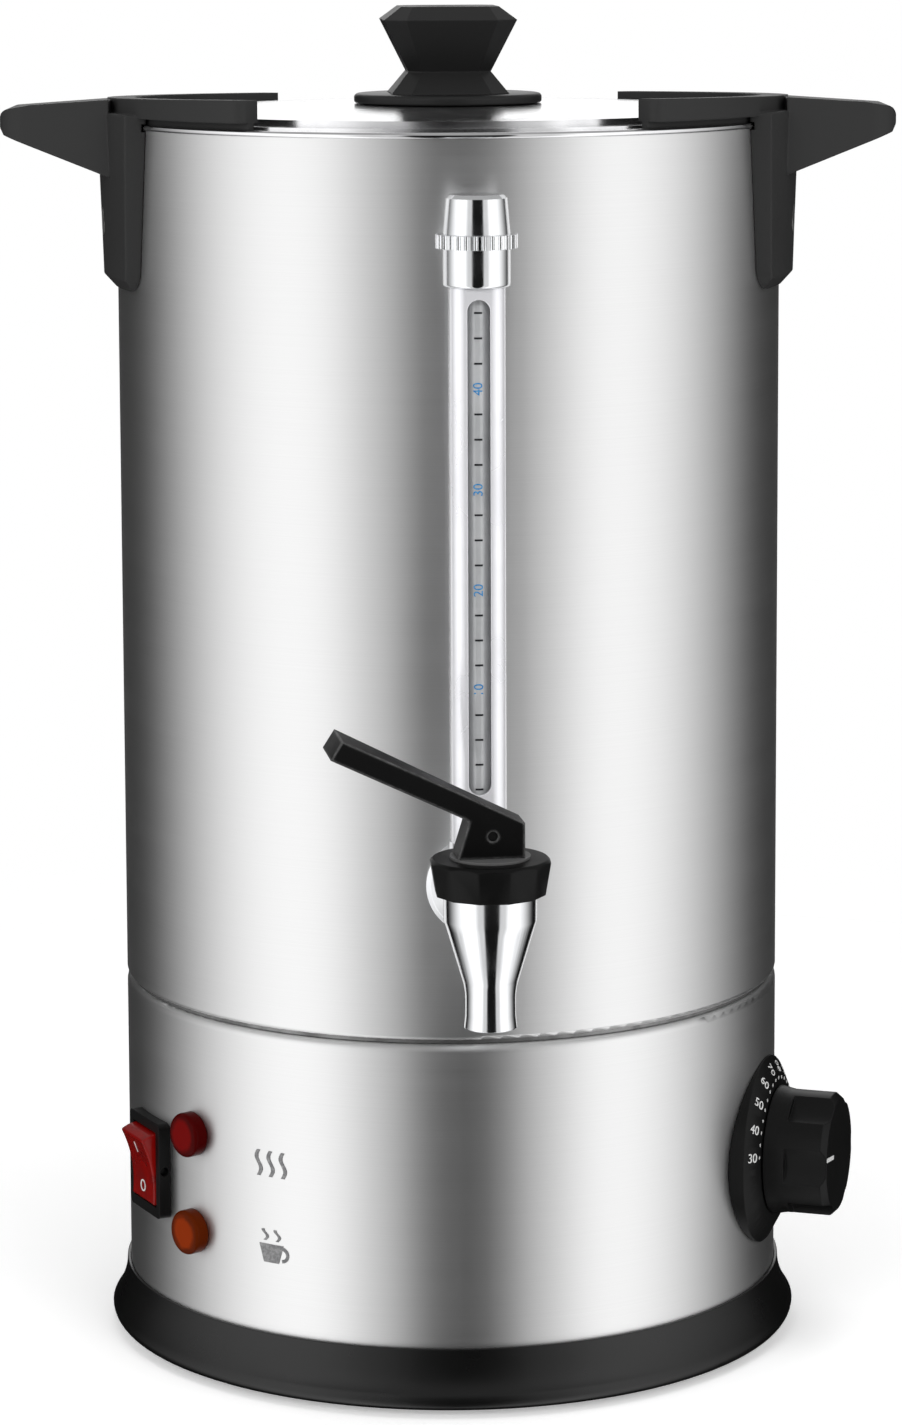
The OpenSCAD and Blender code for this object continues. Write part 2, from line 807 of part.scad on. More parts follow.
module switch_rocker() {
    color([0.7, 0.03, 0.03]) at_azimuth(switch_az, switch_z) translate([0, -rocker_axis, 0])
        rotate([rocker_tilt, 0, 0]) {
            rotate([90, 0, -90]) linear_extrude(rocker_w, center = true) difference() {
                intersection() {
                    circle(rocker_r);
                    translate([-rocker_depth, -rocker_r]) square(2 * rocker_r);
                }
                translate([rocker_face + rocker_dish_r, 0]) circle(rocker_dish_r);
            }
            rotate([0, 90, 0]) cylinder(h = rocker_w + 2 * rocker_pin_l, r = rocker_pin_r, center = true);
        }
}

// One lamp lens with its barrel through the wall
module lamp_lens(z) {
    edge = 1.6;
    front = body_r + lamp_proud;
    at_azimuth(lamp_az, z) bar_out(lamp_barrel_r, body_r - lamp_barrel_l, body_r + 1);
    difference() {
        at_azimuth(lamp_az, z) turned_out() {
            translate([0, body_r - 2]) square([lamp_r, lamp_proud + 2 - edge]);
            translate([0, front - edge - sliver]) square([lamp_r - edge, edge + sliver]);
            translate([lamp_r - edge, front - edge]) circle(edge);
        }
        wall_cylinder(body_r + seat_gap);
    }
}

module heat_lens() {
    color([0.55, 0.02, 0.03]) lamp_lens(heat_lamp_z);
}

module warm_lens() {
    color([0.75, 0.28, 0.03]) lamp_lens(warm_lamp_z);
}

module lamp_holders() {
    color([0.9, 0.9, 0.88]) for (z = [heat_lamp_z, warm_lamp_z]) difference() {
        intersection() {
            at_azimuth(lamp_az, z) bar_out(lamp_holder_r, body_r - lamp_holder_l, body_r);
            wall_cylinder(shell_in_r - seat_gap);
        }
        at_azimuth(lamp_az, z) bar_out(lamp_barrel_r + seat_gap, body_r - lamp_barrel_l - 1, body_r + 1);
    }
}

module terminal_block() {
    pole_pitch = 13;
    wire_r = 3;
    color([0.9, 0.9, 0.86]) translate([-block_w / 2, block_y, plate_top]) difference() {
        cube([block_w, block_d, block_t]);
        for (i = [-1 : 1]) translate([block_w / 2 + i * pole_pitch, -1, block_t / 2])
            rotate([-90, 0, 0]) cylinder(h = block_d + 2, r = wire_r);
        for (i = [-1 : 1]) translate([block_w / 2 + i * pole_pitch, block_d / 2, block_t / 2])
            cylinder(h = block_t, r = wire_r);
    }
}

module cord_gland() {
    color([0.06, 0.06, 0.06]) difference() {
        union() {
            at_azimuth(180, gland_z) bar_out(gland_r, body_r - gland_l, body_r + gland_flange_t);
            difference() {
                at_azimuth(180, gland_z) bar_out(gland_flange_r, body_r - 2, body_r + gland_flange_t);
                wall_cylinder(body_r + seat_gap);
            }
        }
        at_azimuth(180, gland_z) bar_out(gland_bore_r, body_r - gland_l - 1, body_r + gland_flange_t + 1);
    }
}

module gland_nut() {
    color([0.08, 0.08, 0.08]) difference() {
        intersection() {
            at_azimuth(180, gland_z) plate_out(body_r - shell_t - gland_nut_t, body_r)
                circle(gland_flange_r, $fn = 6);
            wall_cylinder(shell_in_r - seat_gap);
        }
        at_azimuth(180, gland_z) bar_out(gland_r + seat_gap, body_r - gland_l - 1, body_r + 1);
    }
}

// Tap

module tap_shank() {
    color([0.8, 0.8, 0.82]) translate([0, 0, tap_z]) difference() {
        bar_out(shank_r, shank_in_r, tap_axis - boss_seat);
        bar_out(shank_bore_r, shank_in_r - 1, tap_axis);
        translate([0, -gauge_axis, 0]) cylinder(h = 2 * shank_r, r = tube_bore_r);
    }
}

module tap_flange() {
    step = 1.4;
    face = body_r + flange_t;
    color([0.86, 0.86, 0.88]) difference() {
        translate([0, 0, tap_z]) turned_out() polygon([
            [shank_r + seat_gap, body_r - 3], [flange_r, body_r - 3], [flange_r, face - 2 * step],
            [flange_r - step, face - step], [shank_r + shank_shoulder, face], [shank_r + seat_gap, face]
        ]);
        wall_cylinder(body_r + seat_gap);
    }
}

module shank_spacer() {
    spacer_r = shank_r + shank_shoulder;
    color([0.7, 0.7, 0.72]) difference() {
        intersection() {
            translate([0, 0, tap_z]) bar_out(spacer_r, tank_r - 4, body_r);
            wall_cylinder(shell_in_r - seat_gap);
        }
        wall_cylinder(tank_r + seat_gap);
        translate([0, 0, tap_z]) bar_out(shank_r + seat_gap, tank_r - 6, body_r + 1);
    }
}

module tap_seals() {
    seal_r = shank_r + seal_w;
    color([0.75, 0.72, 0.66]) difference() {
        intersection() {
            translate([0, 0, tap_z]) bar_out(seal_r, seal_face, tank_r);
            wall_cylinder(tank_in_r - seat_gap);
        }
        translate([0, 0, tap_z]) bar_out(shank_r + seat_gap, tank_in_r - ledge_w, body_r);
    }
}

module shank_nut() {
    color([0.8, 0.8, 0.82]) translate([0, 0, tap_z]) difference() {
        plate_out(seal_face - nut_t, seal_face) circle(shank_r + nut_w, $fn = 6);
        bar_out(shank_r + seat_gap, seal_face - nut_t - 1, seal_face + 1);
    }
}

// Moves a piece drawn about the tap's own axis to its place
module at_tap() {
    translate([0, -tap_axis, 0]) children();
}

module tap_body() {
    color([0.84, 0.84, 0.86]) at_tap() difference() {
        union() {
            rotate_extrude() polygon([
                [0, spout_z], [spout_r + spout_flare, spout_z], [spout_r, spout_z + spout_lip],
                [spout_r, neck_z], [cup_r, bonnet_z0 - cup_side_h], [cup_r, cap_z], [0, cap_z]
            ]);
            translate([0, boss_l, tap_z]) rotate([90, 0, 0]) cylinder(h = boss_l, r = boss_r);
        }
        rotate_extrude() polygon([
            [0, spout_z - 1], [spout_bore_r, spout_z - 1], [spout_bore_r, seat_z], [seat_r, seat_z],
            [cup_r - cup_wall, bonnet_z0], [cup_r - cup_wall, cap_z + 1], [0, cap_z + 1]
        ]);
        translate([0, boss_l + 1, tap_z]) rotate([90, 0, 0])
            cylinder(h = boss_l - boss_seat + 1, r = shank_r + seat_gap);
        translate([0, boss_l, tap_z]) rotate([90, 0, 0]) cylinder(h = boss_l, r = shank_bore_r);
    }
}

// The bonnet is a cone with flats round it for the hand
module tap_bonnet() {
    edge = 1.2;
    side_h = bonnet_h - edge;
    lean = atan2(bonnet_r - bonnet_low_r, side_h);
    color([0.05, 0.05, 0.05]) at_tap() difference() {
        rotate_extrude() polygon([
            [cup_r + seat_gap, bonnet_z0], [bonnet_low_r, bonnet_z0], [bonnet_r, bonnet_top - edge],
            [bonnet_r - edge, bonnet_top], [stem_r + run_gap, bonnet_top], [stem_r + run_gap, cap_z],
            [cup_r + seat_gap, cap_z]
        ]);
        for (i = [0 : bonnet_facets - 1]) rotate([0, 0, i * 360 / bonnet_facets])
            translate([bonnet_low_r * cos(180 / bonnet_facets), 0, bonnet_z0]) rotate([0, lean, 0])
                translate([0, -bonnet_r, -bonnet_h]) cube([bonnet_r, 2 * bonnet_r, 3 * bonnet_h]);
    }
}

// The tap's return spring, one tube swept along a helix
module tap_spring() {
    sides = 6;
    rings = spring_turns * 12;
    low = stem_disc_z + stem_disc_t + spring_wire_r + seat_gap;
    high = cap_z - spring_wire_r - seat_gap;
    points = [for (i = [0 : rings], j = [0 : sides - 1])
        let (a = i * 360 * spring_turns / rings, b = j * 360 / sides, r = spring_r + spring_wire_r * cos(b))
        [r * cos(a), r * sin(a), low + (high - low) * i / rings + spring_wire_r * sin(b)]];
    sides_faces = [for (i = [0 : rings - 1], j = [0 : sides - 1])
        let (k = (j + 1) % sides, p = i * sides, q = p + sides)
        each [[p + j, q + j, q + k], [p + j, q + k, p + k]]];
    first = [for (j = [1 : sides - 2]) [0, j, j + 1]];
    last = [for (j = [1 : sides - 2]) [rings * sides, rings * sides + j + 1, rings * sides + j]];
    echo(spring_gap = (high - low) / spring_turns - 2 * spring_wire_r);
    color([0.6, 0.6, 0.62]) at_tap() polyhedron(points, concat(sides_faces, first, last));
}

module tap_stem() {
    color([0.8, 0.8, 0.82]) at_tap() difference() {
        union() {
            translate([0, 0, seat_z + seal_floor])
                cylinder(h = pin_z + stem_r - seat_z - seal_floor, r = stem_r);
            translate([0, 0, stem_disc_z]) cylinder(h = stem_disc_t, r = spring_r + 1);
        }
        rotate([0, 0, lever_az]) translate([0, 0, pin_z]) rotate([0, 90, 0])
            cylinder(h = 3 * stem_r, r = pin_r + sliver, center = true);
    }
}

module seat_cup() {
    color([0.35, 0.12, 0.1]) at_tap() difference() {
        translate([0, 0, seat_z]) cylinder(h = seal_cup_h, r = seal_cup_r);
        translate([0, 0, seat_z + seal_floor]) cylinder(h = seal_cup_h, r = stem_r + sliver);
    }
}

module thrust_washer() {
    color([0.85, 0.85, 0.8]) at_tap() ring(stem_r + run_gap, washer_r, bonnet_top, block_z0);
}

module lever_pin() {
    color([0.7, 0.7, 0.72]) at_tap() rotate([0, 0, lever_az]) translate([0, 0, pin_z]) rotate([0, 90, 0])
        cylinder(h = lever_block_w - 1, r = pin_r, center = true);
}

module tap_lever() {
    under_z = heel_z + lever_slope * (block_back + lever_under_d) - lever_t;
    end_d = lever_reach + lever_lean;
    end_z = tip_z - lever_t + lever_slope * lever_lean;
    color([0.06, 0.06, 0.06]) at_tap() rotate([0, 0, lever_az]) difference() {
        intersection() {
            rotate([90, 0, -90]) linear_extrude(2 * lever_tip_w, center = true) polygon([
                [-block_back, block_z0], [block_front, block_z0], [lever_under_d, under_z],
                [end_d, end_z], [lever_reach, tip_z], [-block_back, heel_z]
            ]);
            translate([0, 0, block_z0 - 1]) linear_extrude(big) polygon([
                [-lever_block_w / 2, block_back], [lever_block_w / 2, block_back],
                [lever_block_w / 2, -block_front], [lever_tip_w / 2, -end_d],
                [-lever_tip_w / 2, -end_d], [-lever_block_w / 2, -block_front]
            ]);
        }
        translate([-stem_r - slot_gap, -slot_d, block_z0 - 1])
            cube([2 * (stem_r + slot_gap), 2 * slot_d, pin_rise + slot_roof + 1]);
        translate([0, 0, pin_z]) rotate([0, 90, 0])
            cylinder(h = 2 * lever_tip_w, r = pin_r + run_gap, center = true);
    }
}

// Level gauge

// Moves a piece drawn about the gauge's own axis to its place
module at_gauge() {
    translate([0, -gauge_axis, 0]) children();
}

module gauge_tee() {
    color([0.82, 0.82, 0.84]) difference() {
        union() {
            translate([0, 0, tap_z]) bar_out(shank_r + shank_shoulder, body_r + flange_t, tee_end);
            at_gauge() translate([0, 0, tap_z]) cylinder(h = shield_z0 - tap_z, r = tee_r);
        }
        translate([0, 0, tap_z]) bar_out(shank_r + seat_gap, body_r, tap_axis);
        at_gauge() translate([0, 0, tap_z]) cylinder(h = big, r = tube_bore_r);
        at_gauge() translate([0, 0, tube_z0 - gasket_t]) cylinder(h = big, r = tube_r + seat_gap);
    }
}

module gauge_tube() {
    color([0.85, 0.92, 0.95, 0.4]) at_gauge() ring(tube_bore_r, tube_r, tube_z0, tube_z1);
}

module gauge_shield() {
    color([0.88, 0.89, 0.9]) at_gauge() difference() {
        translate([0, 0, shield_z0]) linear_extrude(collar_z - shield_z0) difference() {
            rounded_rect(gauge_w, gauge_d, gauge_corner_r);
            rounded_rect(gauge_w - 2 * gauge_sheet, gauge_d - 2 * gauge_sheet,
                gauge_corner_r - gauge_sheet);
        }
        translate([0, 0, (window_z0 + window_z1) / 2]) plate_out(0, gauge_d)
            rotate(90) slot_2d(window_z1 - window_z0, window_w);
    }
}

module gauge_collar() {
    edge = 1;
    color([0.86, 0.87, 0.88]) at_gauge() rotate_extrude() difference() {
        translate([tube_r + seat_gap, collar_z]) square([collar_r - tube_r - seat_gap, collar_h]);
        translate([collar_r - edge, collar_z]) difference() {
            translate([0, -edge]) square(2 * edge);
            translate([0, edge]) circle(edge);
        }
    }
}

module gauge_nut() {
    color([0.9, 0.9, 0.9]) at_gauge() difference() {
        ring(tube_r + seat_gap, knurl_r, knurl_z, gauge_cap_z);
        for (i = [0 : knurl_n - 1]) rotate([0, 0, i * 360 / knurl_n])
            translate([knurl_r + flute_out, 0, knurl_z - 1]) cylinder(h = knurl_h + 2, r = flute_r);
    }
}

module gauge_cap() {
    edge = 1.2;
    vent_r = 1;
    color([0.86, 0.87, 0.88]) at_gauge() difference() {
        rotate_extrude() polygon([
            [0, gauge_cap_z], [collar_r, gauge_cap_z], [gauge_cap_r, gauge_top - edge],
            [gauge_cap_r - edge, gauge_top], [0, gauge_top]
        ]);
        translate([0, 0, gauge_cap_z - 1])
            cylinder(h = tube_z1 + gasket_t - gauge_cap_z + 1, r = tube_r + seat_gap);
        translate([0, 0, gauge_cap_z]) cylinder(h = big, r = vent_r);
    }
}

module gauge_seals() {
    color([0.12, 0.12, 0.12]) at_gauge() for (z = [tube_z0 - gasket_t, tube_z1])
        ring(tube_bore_r, tube_r, z, z + gasket_t);
}

// Handles

module handle_screw_places() {
    for (side = [-90, 90], turn = [-handle_screw_az, handle_screw_az])
        at_azimuth(side + handle_turn + turn, handle_screw_z) children();
}

// Plan of the grip, drawn in by a margin all round
module wing_plan(margin) {
    root = wing_root_w / 2 - margin;
    tip = wing_tip_w / 2 - margin;
    far = margin - wing_reach;
    corner = wing_corner_r - margin;
    rounded_outline([[-root, -body_r], [root, -body_r], [tip, far], [-tip, far]], [0, 0, corner, corner]);
}

// Everything outside a cylinder on the body's axis
module outside_cylinder(r) {
    difference() {
        wall_cylinder(2 * wing_reach);
        wall_cylinder(r);
    }
}

// Everything below a plane through a height on the body's axis or wall, falling to the back and outwards
module below_slope(front, out_r, z, fall_angle) {
    translate([0, -out_r, z]) rotate([0, -front * hood_pitch, 0]) rotate([fall_angle, 0, 0])
        translate([-big, -big, -2 * big]) cube(2 * big);
}

// One handle, drawn at the front: hood over the rim, leg down the wall and hollow grip. Its hood is higher on
// the side that faces the front of the urn: front is 1 for the side of +X and -1 for the side of -X.
module handle(front) {
    bottom = leg_bottom_w / 2;
    top = leg_top_w / 2;
    lap_z = hood_z0 + leg_lap;
    difference() {
        union() {
            intersection() {
                rotate([0, 0, -90 - hood_span / 2]) rotate_extrude(angle = hood_span) {
                    translate([hood_in_r, hood_z0]) square([hood_out_r - hood_in_r, hood_z1 - hood_z0 + 1]);
                    translate([hood_in_r + hood_foot_in, rim_top]) square([hood_foot_w, hood_gap + 1]);
                }
                below_slope(front, 0, hood_mid_z, 0);
            }
            intersection() {
                rotate_extrude() polygon([
                    [leg_in_r, leg_z0], [leg_in_r + leg_edge_t, leg_z0],
                    [leg_bottom_r, leg_z0 + leg_chamfer], [leg_top_r, lap_z], [leg_in_r, lap_z]
                ]);
                plate_out(0, 2 * body_r) rounded_outline(
                    [[-bottom, leg_z0], [bottom, leg_z0], [top, lap_z], [-top, lap_z]],
                    [leg_corner_r, leg_corner_r, 0, 0]);
            }
            intersection() {
                translate([0, 0, leg_z0]) linear_extrude(big) wing_plan(0);
                rotate([90, 0, -90]) linear_extrude(2 * wing_root_w, center = true) polygon([
                    [body_r, hood_z1], [wing_reach, hood_z1], [wing_reach, wing_tip_z],
                    [body_r, wing_top - wing_root_h]
                ]);
                outside_cylinder(leg_in_r + leg_lap);
                below_slope(front, body_r, wing_top, wing_fall_angle);
            }
        }
        intersection() {
            translate([0, 0, leg_z0]) linear_extrude(big) wing_plan(wing_wall);
            outside_cylinder(leg_top_r + leg_lap);
            below_slope(front, body_r, wing_top - wing_wall, wing_fall_angle);
        }
        ring(leg_in_r - leg_lap, rim_out_r + rim_clear, rim_z - rim_clear, rim_top + rim_clear);
        for (turn = [-handle_screw_az, handle_screw_az]) at_azimuth(turn, handle_screw_z) {
            bar_out(handle_screw_r + seat_gap, body_r - 1, big);
            bar_out(handle_screw_head_r, leg_bottom_r - handle_screw_sink, big);
        }
    }
}

module handle_left() {
    color([0.08, 0.08, 0.085]) at_azimuth(handle_turn - 90) handle(1);
}

module handle_right() {
    color([0.08, 0.08, 0.085]) at_azimuth(handle_turn + 90) handle(-1);
}

module handle_screws() {
    head = leg_bottom_r - handle_screw_sink;
    color([0.75, 0.75, 0.76]) handle_screw_places() {
        bar_out(handle_screw_r, tank_r + 1, head + sliver);
        bar_out(handle_screw_head_r - seat_gap, head, head + handle_screw_head_h);
    }
}

// Lid

module lid() {
    dome_c = dome_z - dome_r;
    color([0.82, 0.82, 0.83]) difference() {
        rotate_extrude() {
            translate([deck_r, rim_top]) square([lid_r - deck_r, shell_t]);
            translate([deck_r, rim_top]) square([shell_t, deck_rise + shell_t]);
            intersection() {
                difference() {
                    translate([0, dome_c]) circle(dome_r, $fn = dome_facets);
                    translate([0, dome_c]) circle(dome_r - shell_t, $fn = dome_facets);
                }
                translate([0, rim_top]) square([deck_r + shell_t / 2, big]);
            }
            translate([plug_r - shell_t, rim_top - plug_h]) square([shell_t, plug_h + sliver]);
        }
        cylinder(h = 2 * big, r = lid_screw_r + seat_gap);
    }
}

module knob_shield() {
    edge = 1.4;
    color([0.05, 0.05, 0.05]) rotate_extrude() difference() {
        translate([lid_screw_r + seat_gap, dome_z]) square([shield_r - lid_screw_r - seat_gap, shield_t]);
        translate([shield_r - edge, knob_z0 - edge]) difference() {
            square(2 * edge);
            circle(edge);
        }
    }
}

// Side view of the lid knob, with its half widths multiplied by k
module knob_profile(k) {
    foot = k * knob_foot_w / 2;
    waist = k * lid_knob_waist_w / 2;
    head = k * lid_knob_w / 2;
    top = head - knob_crown_in;
    waist_z = knob_z0 + knob_waist_h;
    crown_z = knob_z1 - knob_crown;
    polygon([
        [-foot, knob_z0], [foot, knob_z0], [waist, waist_z], [head, crown_z], [top, knob_z1],
        [-top, knob_z1], [-head, crown_z], [-waist, waist_z]
    ]);
}

// The same profile from four sides gives the knob its square plan, and from the corners its narrow flats
module lid_knob() {
    dish_r = (pow(lid_knob_w / 2 - knob_crown_in, 2) + pow(knob_dish, 2)) / (2 * knob_dish);
    color([0.06, 0.06, 0.06]) difference() {
        intersection_for (turn = [0, 45, 90, 135]) rotate([90, 0, turn])
            linear_extrude(big, center = true) knob_profile(turn % 90 == 0 ? 1 : knob_corner);
        translate([0, 0, knob_z1 - knob_dish + dish_r]) sphere(dish_r);
        cylinder(h = knob_z0 + lid_screw_depth + sliver, r = lid_screw_r);
    }
}

module lid_screw() {
    low = dome_z - shell_t - seat_gap;
    color([0.75, 0.75, 0.76]) {
        translate([0, 0, low - lid_screw_head_h]) cylinder(h = lid_screw_head_h, r = lid_screw_head_r);
        translate([0, 0, low - sliver])
            cylinder(h = knob_z0 + lid_screw_depth - low, r = lid_screw_r - sliver);
    }
}

base_skirt();
base_plate();
base_feet();
base_screws();
lower_housing();
seam_ring();
outer_shell();
rim_ring();
tank();
heater_plate();
heater_element();
dry_boil_cutout();
thermostat_body();
thermostat_bulb();
dial_plate();
switch_frame();
heat_lens();
warm_lens();
lamp_holders();
terminal_block();
cord_gland();
gland_nut();
tap_shank();
tap_flange();
shank_spacer();
shank_nut();
tap_seals();
tap_body();
tap_bonnet();
tap_spring();
gauge_tee();
gauge_tube();
gauge_shield();
gauge_collar();
gauge_nut();
gauge_cap();
gauge_seals();
handle_left();
handle_right();
handle_screws();
lid();
knob_shield();
lid_knob();
lid_screw();
thrust_washer();
tap_stem();
seat_cup();
lever_pin();
tap_lever();
dial_knob();
thermostat_spindle();
switch_rocker();
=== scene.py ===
import json
import math

import bpy
from mathutils import Matrix, Vector


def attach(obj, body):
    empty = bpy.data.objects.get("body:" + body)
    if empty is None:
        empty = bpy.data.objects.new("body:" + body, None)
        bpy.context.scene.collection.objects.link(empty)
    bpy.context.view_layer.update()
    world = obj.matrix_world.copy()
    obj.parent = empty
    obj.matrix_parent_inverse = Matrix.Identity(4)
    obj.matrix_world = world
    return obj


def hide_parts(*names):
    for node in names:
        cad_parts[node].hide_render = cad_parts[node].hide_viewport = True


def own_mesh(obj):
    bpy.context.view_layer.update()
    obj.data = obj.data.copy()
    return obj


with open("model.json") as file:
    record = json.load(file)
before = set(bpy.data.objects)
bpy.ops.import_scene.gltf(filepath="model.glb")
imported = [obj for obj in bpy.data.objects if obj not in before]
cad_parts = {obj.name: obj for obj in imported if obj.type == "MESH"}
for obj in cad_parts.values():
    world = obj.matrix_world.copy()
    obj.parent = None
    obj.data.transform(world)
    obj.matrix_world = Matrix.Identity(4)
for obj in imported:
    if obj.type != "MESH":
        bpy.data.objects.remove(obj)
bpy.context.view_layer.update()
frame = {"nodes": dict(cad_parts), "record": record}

nodes = frame["nodes"]
scene = bpy.context.scene
scene.view_settings.view_transform = "Standard"
bpy.ops.object.select_all(action="DESELECT")
print("frame:", len(nodes), "nodes")


# camera

cameraSet = {
    "distance": 1.5155,  # metres from the body's axis
    "height": 0.4875,
    "turn": -4.0,  # degrees round the body
    "pitch": 7.5,
    "roll": -0.23,
    "lens": 111.86,
    "sensor": 36,
    "shiftX": 0.0011,
    "shiftY": -0.15,
}


def makeCamera(c):
    turn = math.radians(c["turn"])
    place = Vector((math.sin(turn), -math.cos(turn), 0)) * c["distance"]
    place.z = c["height"]
    bpy.ops.object.camera_add()
    camera = bpy.context.object
    camera.name = "photoCamera"
    aim = (
        Matrix.Rotation(turn, 4, "Z")
        @ Matrix.Rotation(math.radians(90 - c["pitch"]), 4, "X")
        @ Matrix.Rotation(math.radians(c["roll"]), 4, "Z")
    )
    camera.matrix_world = Matrix.Translation(place) @ aim
    camera.data.lens = c["lens"]
    camera.data.sensor_width = c["sensor"]
    camera.data.shift_x = c["shiftX"]
    camera.data.shift_y = c["shiftY"]
    camera.data.dof.use_dof = False
    scene.camera = camera


makeCamera(cameraSet)
print("camera set")


# node helpers

def addNode(tree, kind, links=None, **values):
    node = tree.nodes.new("ShaderNode" + kind)
    for name, value in values.items():
        setattr(node, name, value)
    for socket, source in (links or {}).items():
        if hasattr(source, "is_output"):
            tree.links.new(source, node.inputs[socket])
        else:
            node.inputs[socket].default_value = source
    return node


def maths(tree, operation, *sources):
    return addNode(tree, "Math", dict(enumerate(sources)), operation=operation).outputs[0]


def spread(tree, source, low, high, toLow=0.0, toHigh=1.0, ease="SMOOTHSTEP"):
    links = {"Value": source, "From Min": low, "From Max": high, "To Min": toLow, "To Max": toHigh}
    return addNode(tree, "MapRange", links, interpolation_type=ease).outputs["Result"]


def twoTone(tree, mask, dark, light):
    tones = {"A": dark, "B": light}
    tones = {name: tone if hasattr(tone, "is_output") else (*tone, 1) for name, tone in tones.items()}
    return addNode(tree, "Mix", {"Factor": mask, **tones}, data_type="RGBA").outputs["Result"]


# studio: world, light wall, lamps and floor

studioSet = {
    "fill": 0.62,  # light of the room on matt surfaces
    "corners": 96,  # of the wall's and the floor's circle
    "wallRadius": 2.6,
    "wallHeight": 5.5,
    "wallTurn": -4.0,
    "wallDark": 0.008,
    "boxLevel": 1.45,
    "coreShift": 3.6,  # degrees, the dark strip's own turn to the right
    "stepRise": (16.6, 20.5),  # degrees from the dark strip, the sharp edge of the light boxes
    "stepLevel": 0.5,
    "boxRise": (17, 48),
    "boxFall": (57, 132),
    "wallTop": (1.2, 2.4),  # metres: the light boxes fade out here
    "backRise": (158, 168),
    "backHeight": (0.40, 0.47),  # metres: the lid sees this bright band behind the urn
    "backTop": (1.6, 2.2),
    "backLevel": 1.3,
    "upperRise": (0.95, 1.8),  # metres: soft light above, for the lid seen from above
    "upperLevel": 0.42,
    "floorRadius": 0.9,
    "floorFade": (0.3, 0.8),
    "floorColour": (0.93, 0.93, 0.93),
    "floorLift": 0.3,
    "lampPlaces": ((-0.85, -1.5, 0.95), (0.7, -1.6, 0.9), (0.1, -0.3, 1.9)),
    "lampWatts": (9.0, 7.0, 6.0),
    "lampSize": 0.9,
    "lampAim": (0, 0, 0.2),
}


def makeWorld(s):
    world = bpy.data.worlds.new("studioRoom")
    scene.world = world
    world.use_nodes = True
    tree = world.node_tree
    tree.nodes.clear()
    path = addNode(tree, "LightPath").outputs
    seen = maths(tree, "MAXIMUM", path["Is Camera Ray"], path["Is Glossy Ray"])
    seen = maths(tree, "MAXIMUM", seen, path["Is Transmission Ray"])
    level = maths(tree, "MULTIPLY_ADD", seen, 1 - s["fill"], s["fill"])
    room = addNode(tree, "Background", {"Color": (1, 1, 1, 1), "Strength": level})
    out = addNode(tree, "OutputWorld")
    tree.links.new(room.outputs[0], out.inputs["Surface"])


def makeWall(s):
    bpy.ops.object.select_all(action="DESELECT")
    bpy.ops.mesh.primitive_cylinder_add(
        vertices=s["corners"], radius=s["wallRadius"], depth=2 * s["wallHeight"], end_fill_type="NGON"
    )
    wall = bpy.context.object
    wall.name = "lightWall"
    for ray in ("camera", "diffuse", "transmission", "shadow", "volume_scatter"):
        setattr(wall, "visible_" + ray, False)
    mat = bpy.data.materials.new("lightWall")
    mat.use_nodes = True
    tree = mat.node_tree
    tree.nodes.clear()
    place = addNode(tree, "SeparateXYZ", {0: addNode(tree, "TexCoord").outputs["Object"]}).outputs
    back = maths(tree, "MULTIPLY", place["Y"], -1.0)
    turn = maths(tree, "DEGREES", maths(tree, "ARCTAN2", place["X"], back))
    turn = maths(tree, "SUBTRACT", turn, s["wallTurn"])
    core = maths(tree, "ABSOLUTE", maths(tree, "SUBTRACT", turn, s["coreShift"]))
    turn = maths(tree, "ABSOLUTE", turn)
    step = spread(tree, core, *s["stepRise"], 0.0, s["stepLevel"])
    rise = maths(tree, "MAXIMUM", step, spread(tree, core, *s["boxRise"]))
    fall = spread(tree, turn, *s["boxFall"], 1.0, 0.0)
    box = maths(tree, "MULTIPLY", maths(tree, "MULTIPLY", rise, fall), s["boxLevel"])
    box = maths(tree, "MULTIPLY", box, spread(tree, place["Z"], *s["wallTop"], 1.0, 0.0))
    rear = spread(tree, turn, *s["backRise"])
    rear = maths(tree, "MULTIPLY", rear, spread(tree, place["Z"], *s["backHeight"]))
    rear = maths(tree, "MULTIPLY", rear, spread(tree, place["Z"], *s["backTop"], 1.0, 0.0))
    rear = maths(tree, "MULTIPLY_ADD", rear, s["backLevel"], s["wallDark"])
    upper = spread(tree, place["Z"], *s["upperRise"], 0.0, s["upperLevel"])
    level = maths(tree, "ADD", maths(tree, "ADD", box, rear), upper)
    glow = addNode(tree, "Emission", {"Strength": level})
    out = addNode(tree, "OutputMaterial")
    tree.links.new(glow.outputs[0], out.inputs["Surface"])
    wall.data.materials.append(mat)


def makeLamps(s):
    for i, place in enumerate(s["lampPlaces"]):
        bpy.ops.object.light_add(type="AREA", location=place)
        lamp = bpy.context.object
        lamp.name = f"softLamp{i + 1}"
        lamp.data.shape = "DISK"
        lamp.data.size = s["lampSize"]
        lamp.data.energy = s["lampWatts"][i]
        aim = Vector(s["lampAim"]) - Vector(place)
        lamp.rotation_euler = aim.to_track_quat("-Z", "Y").to_euler()
        lamp.visible_camera = False
        lamp.visible_glossy = False


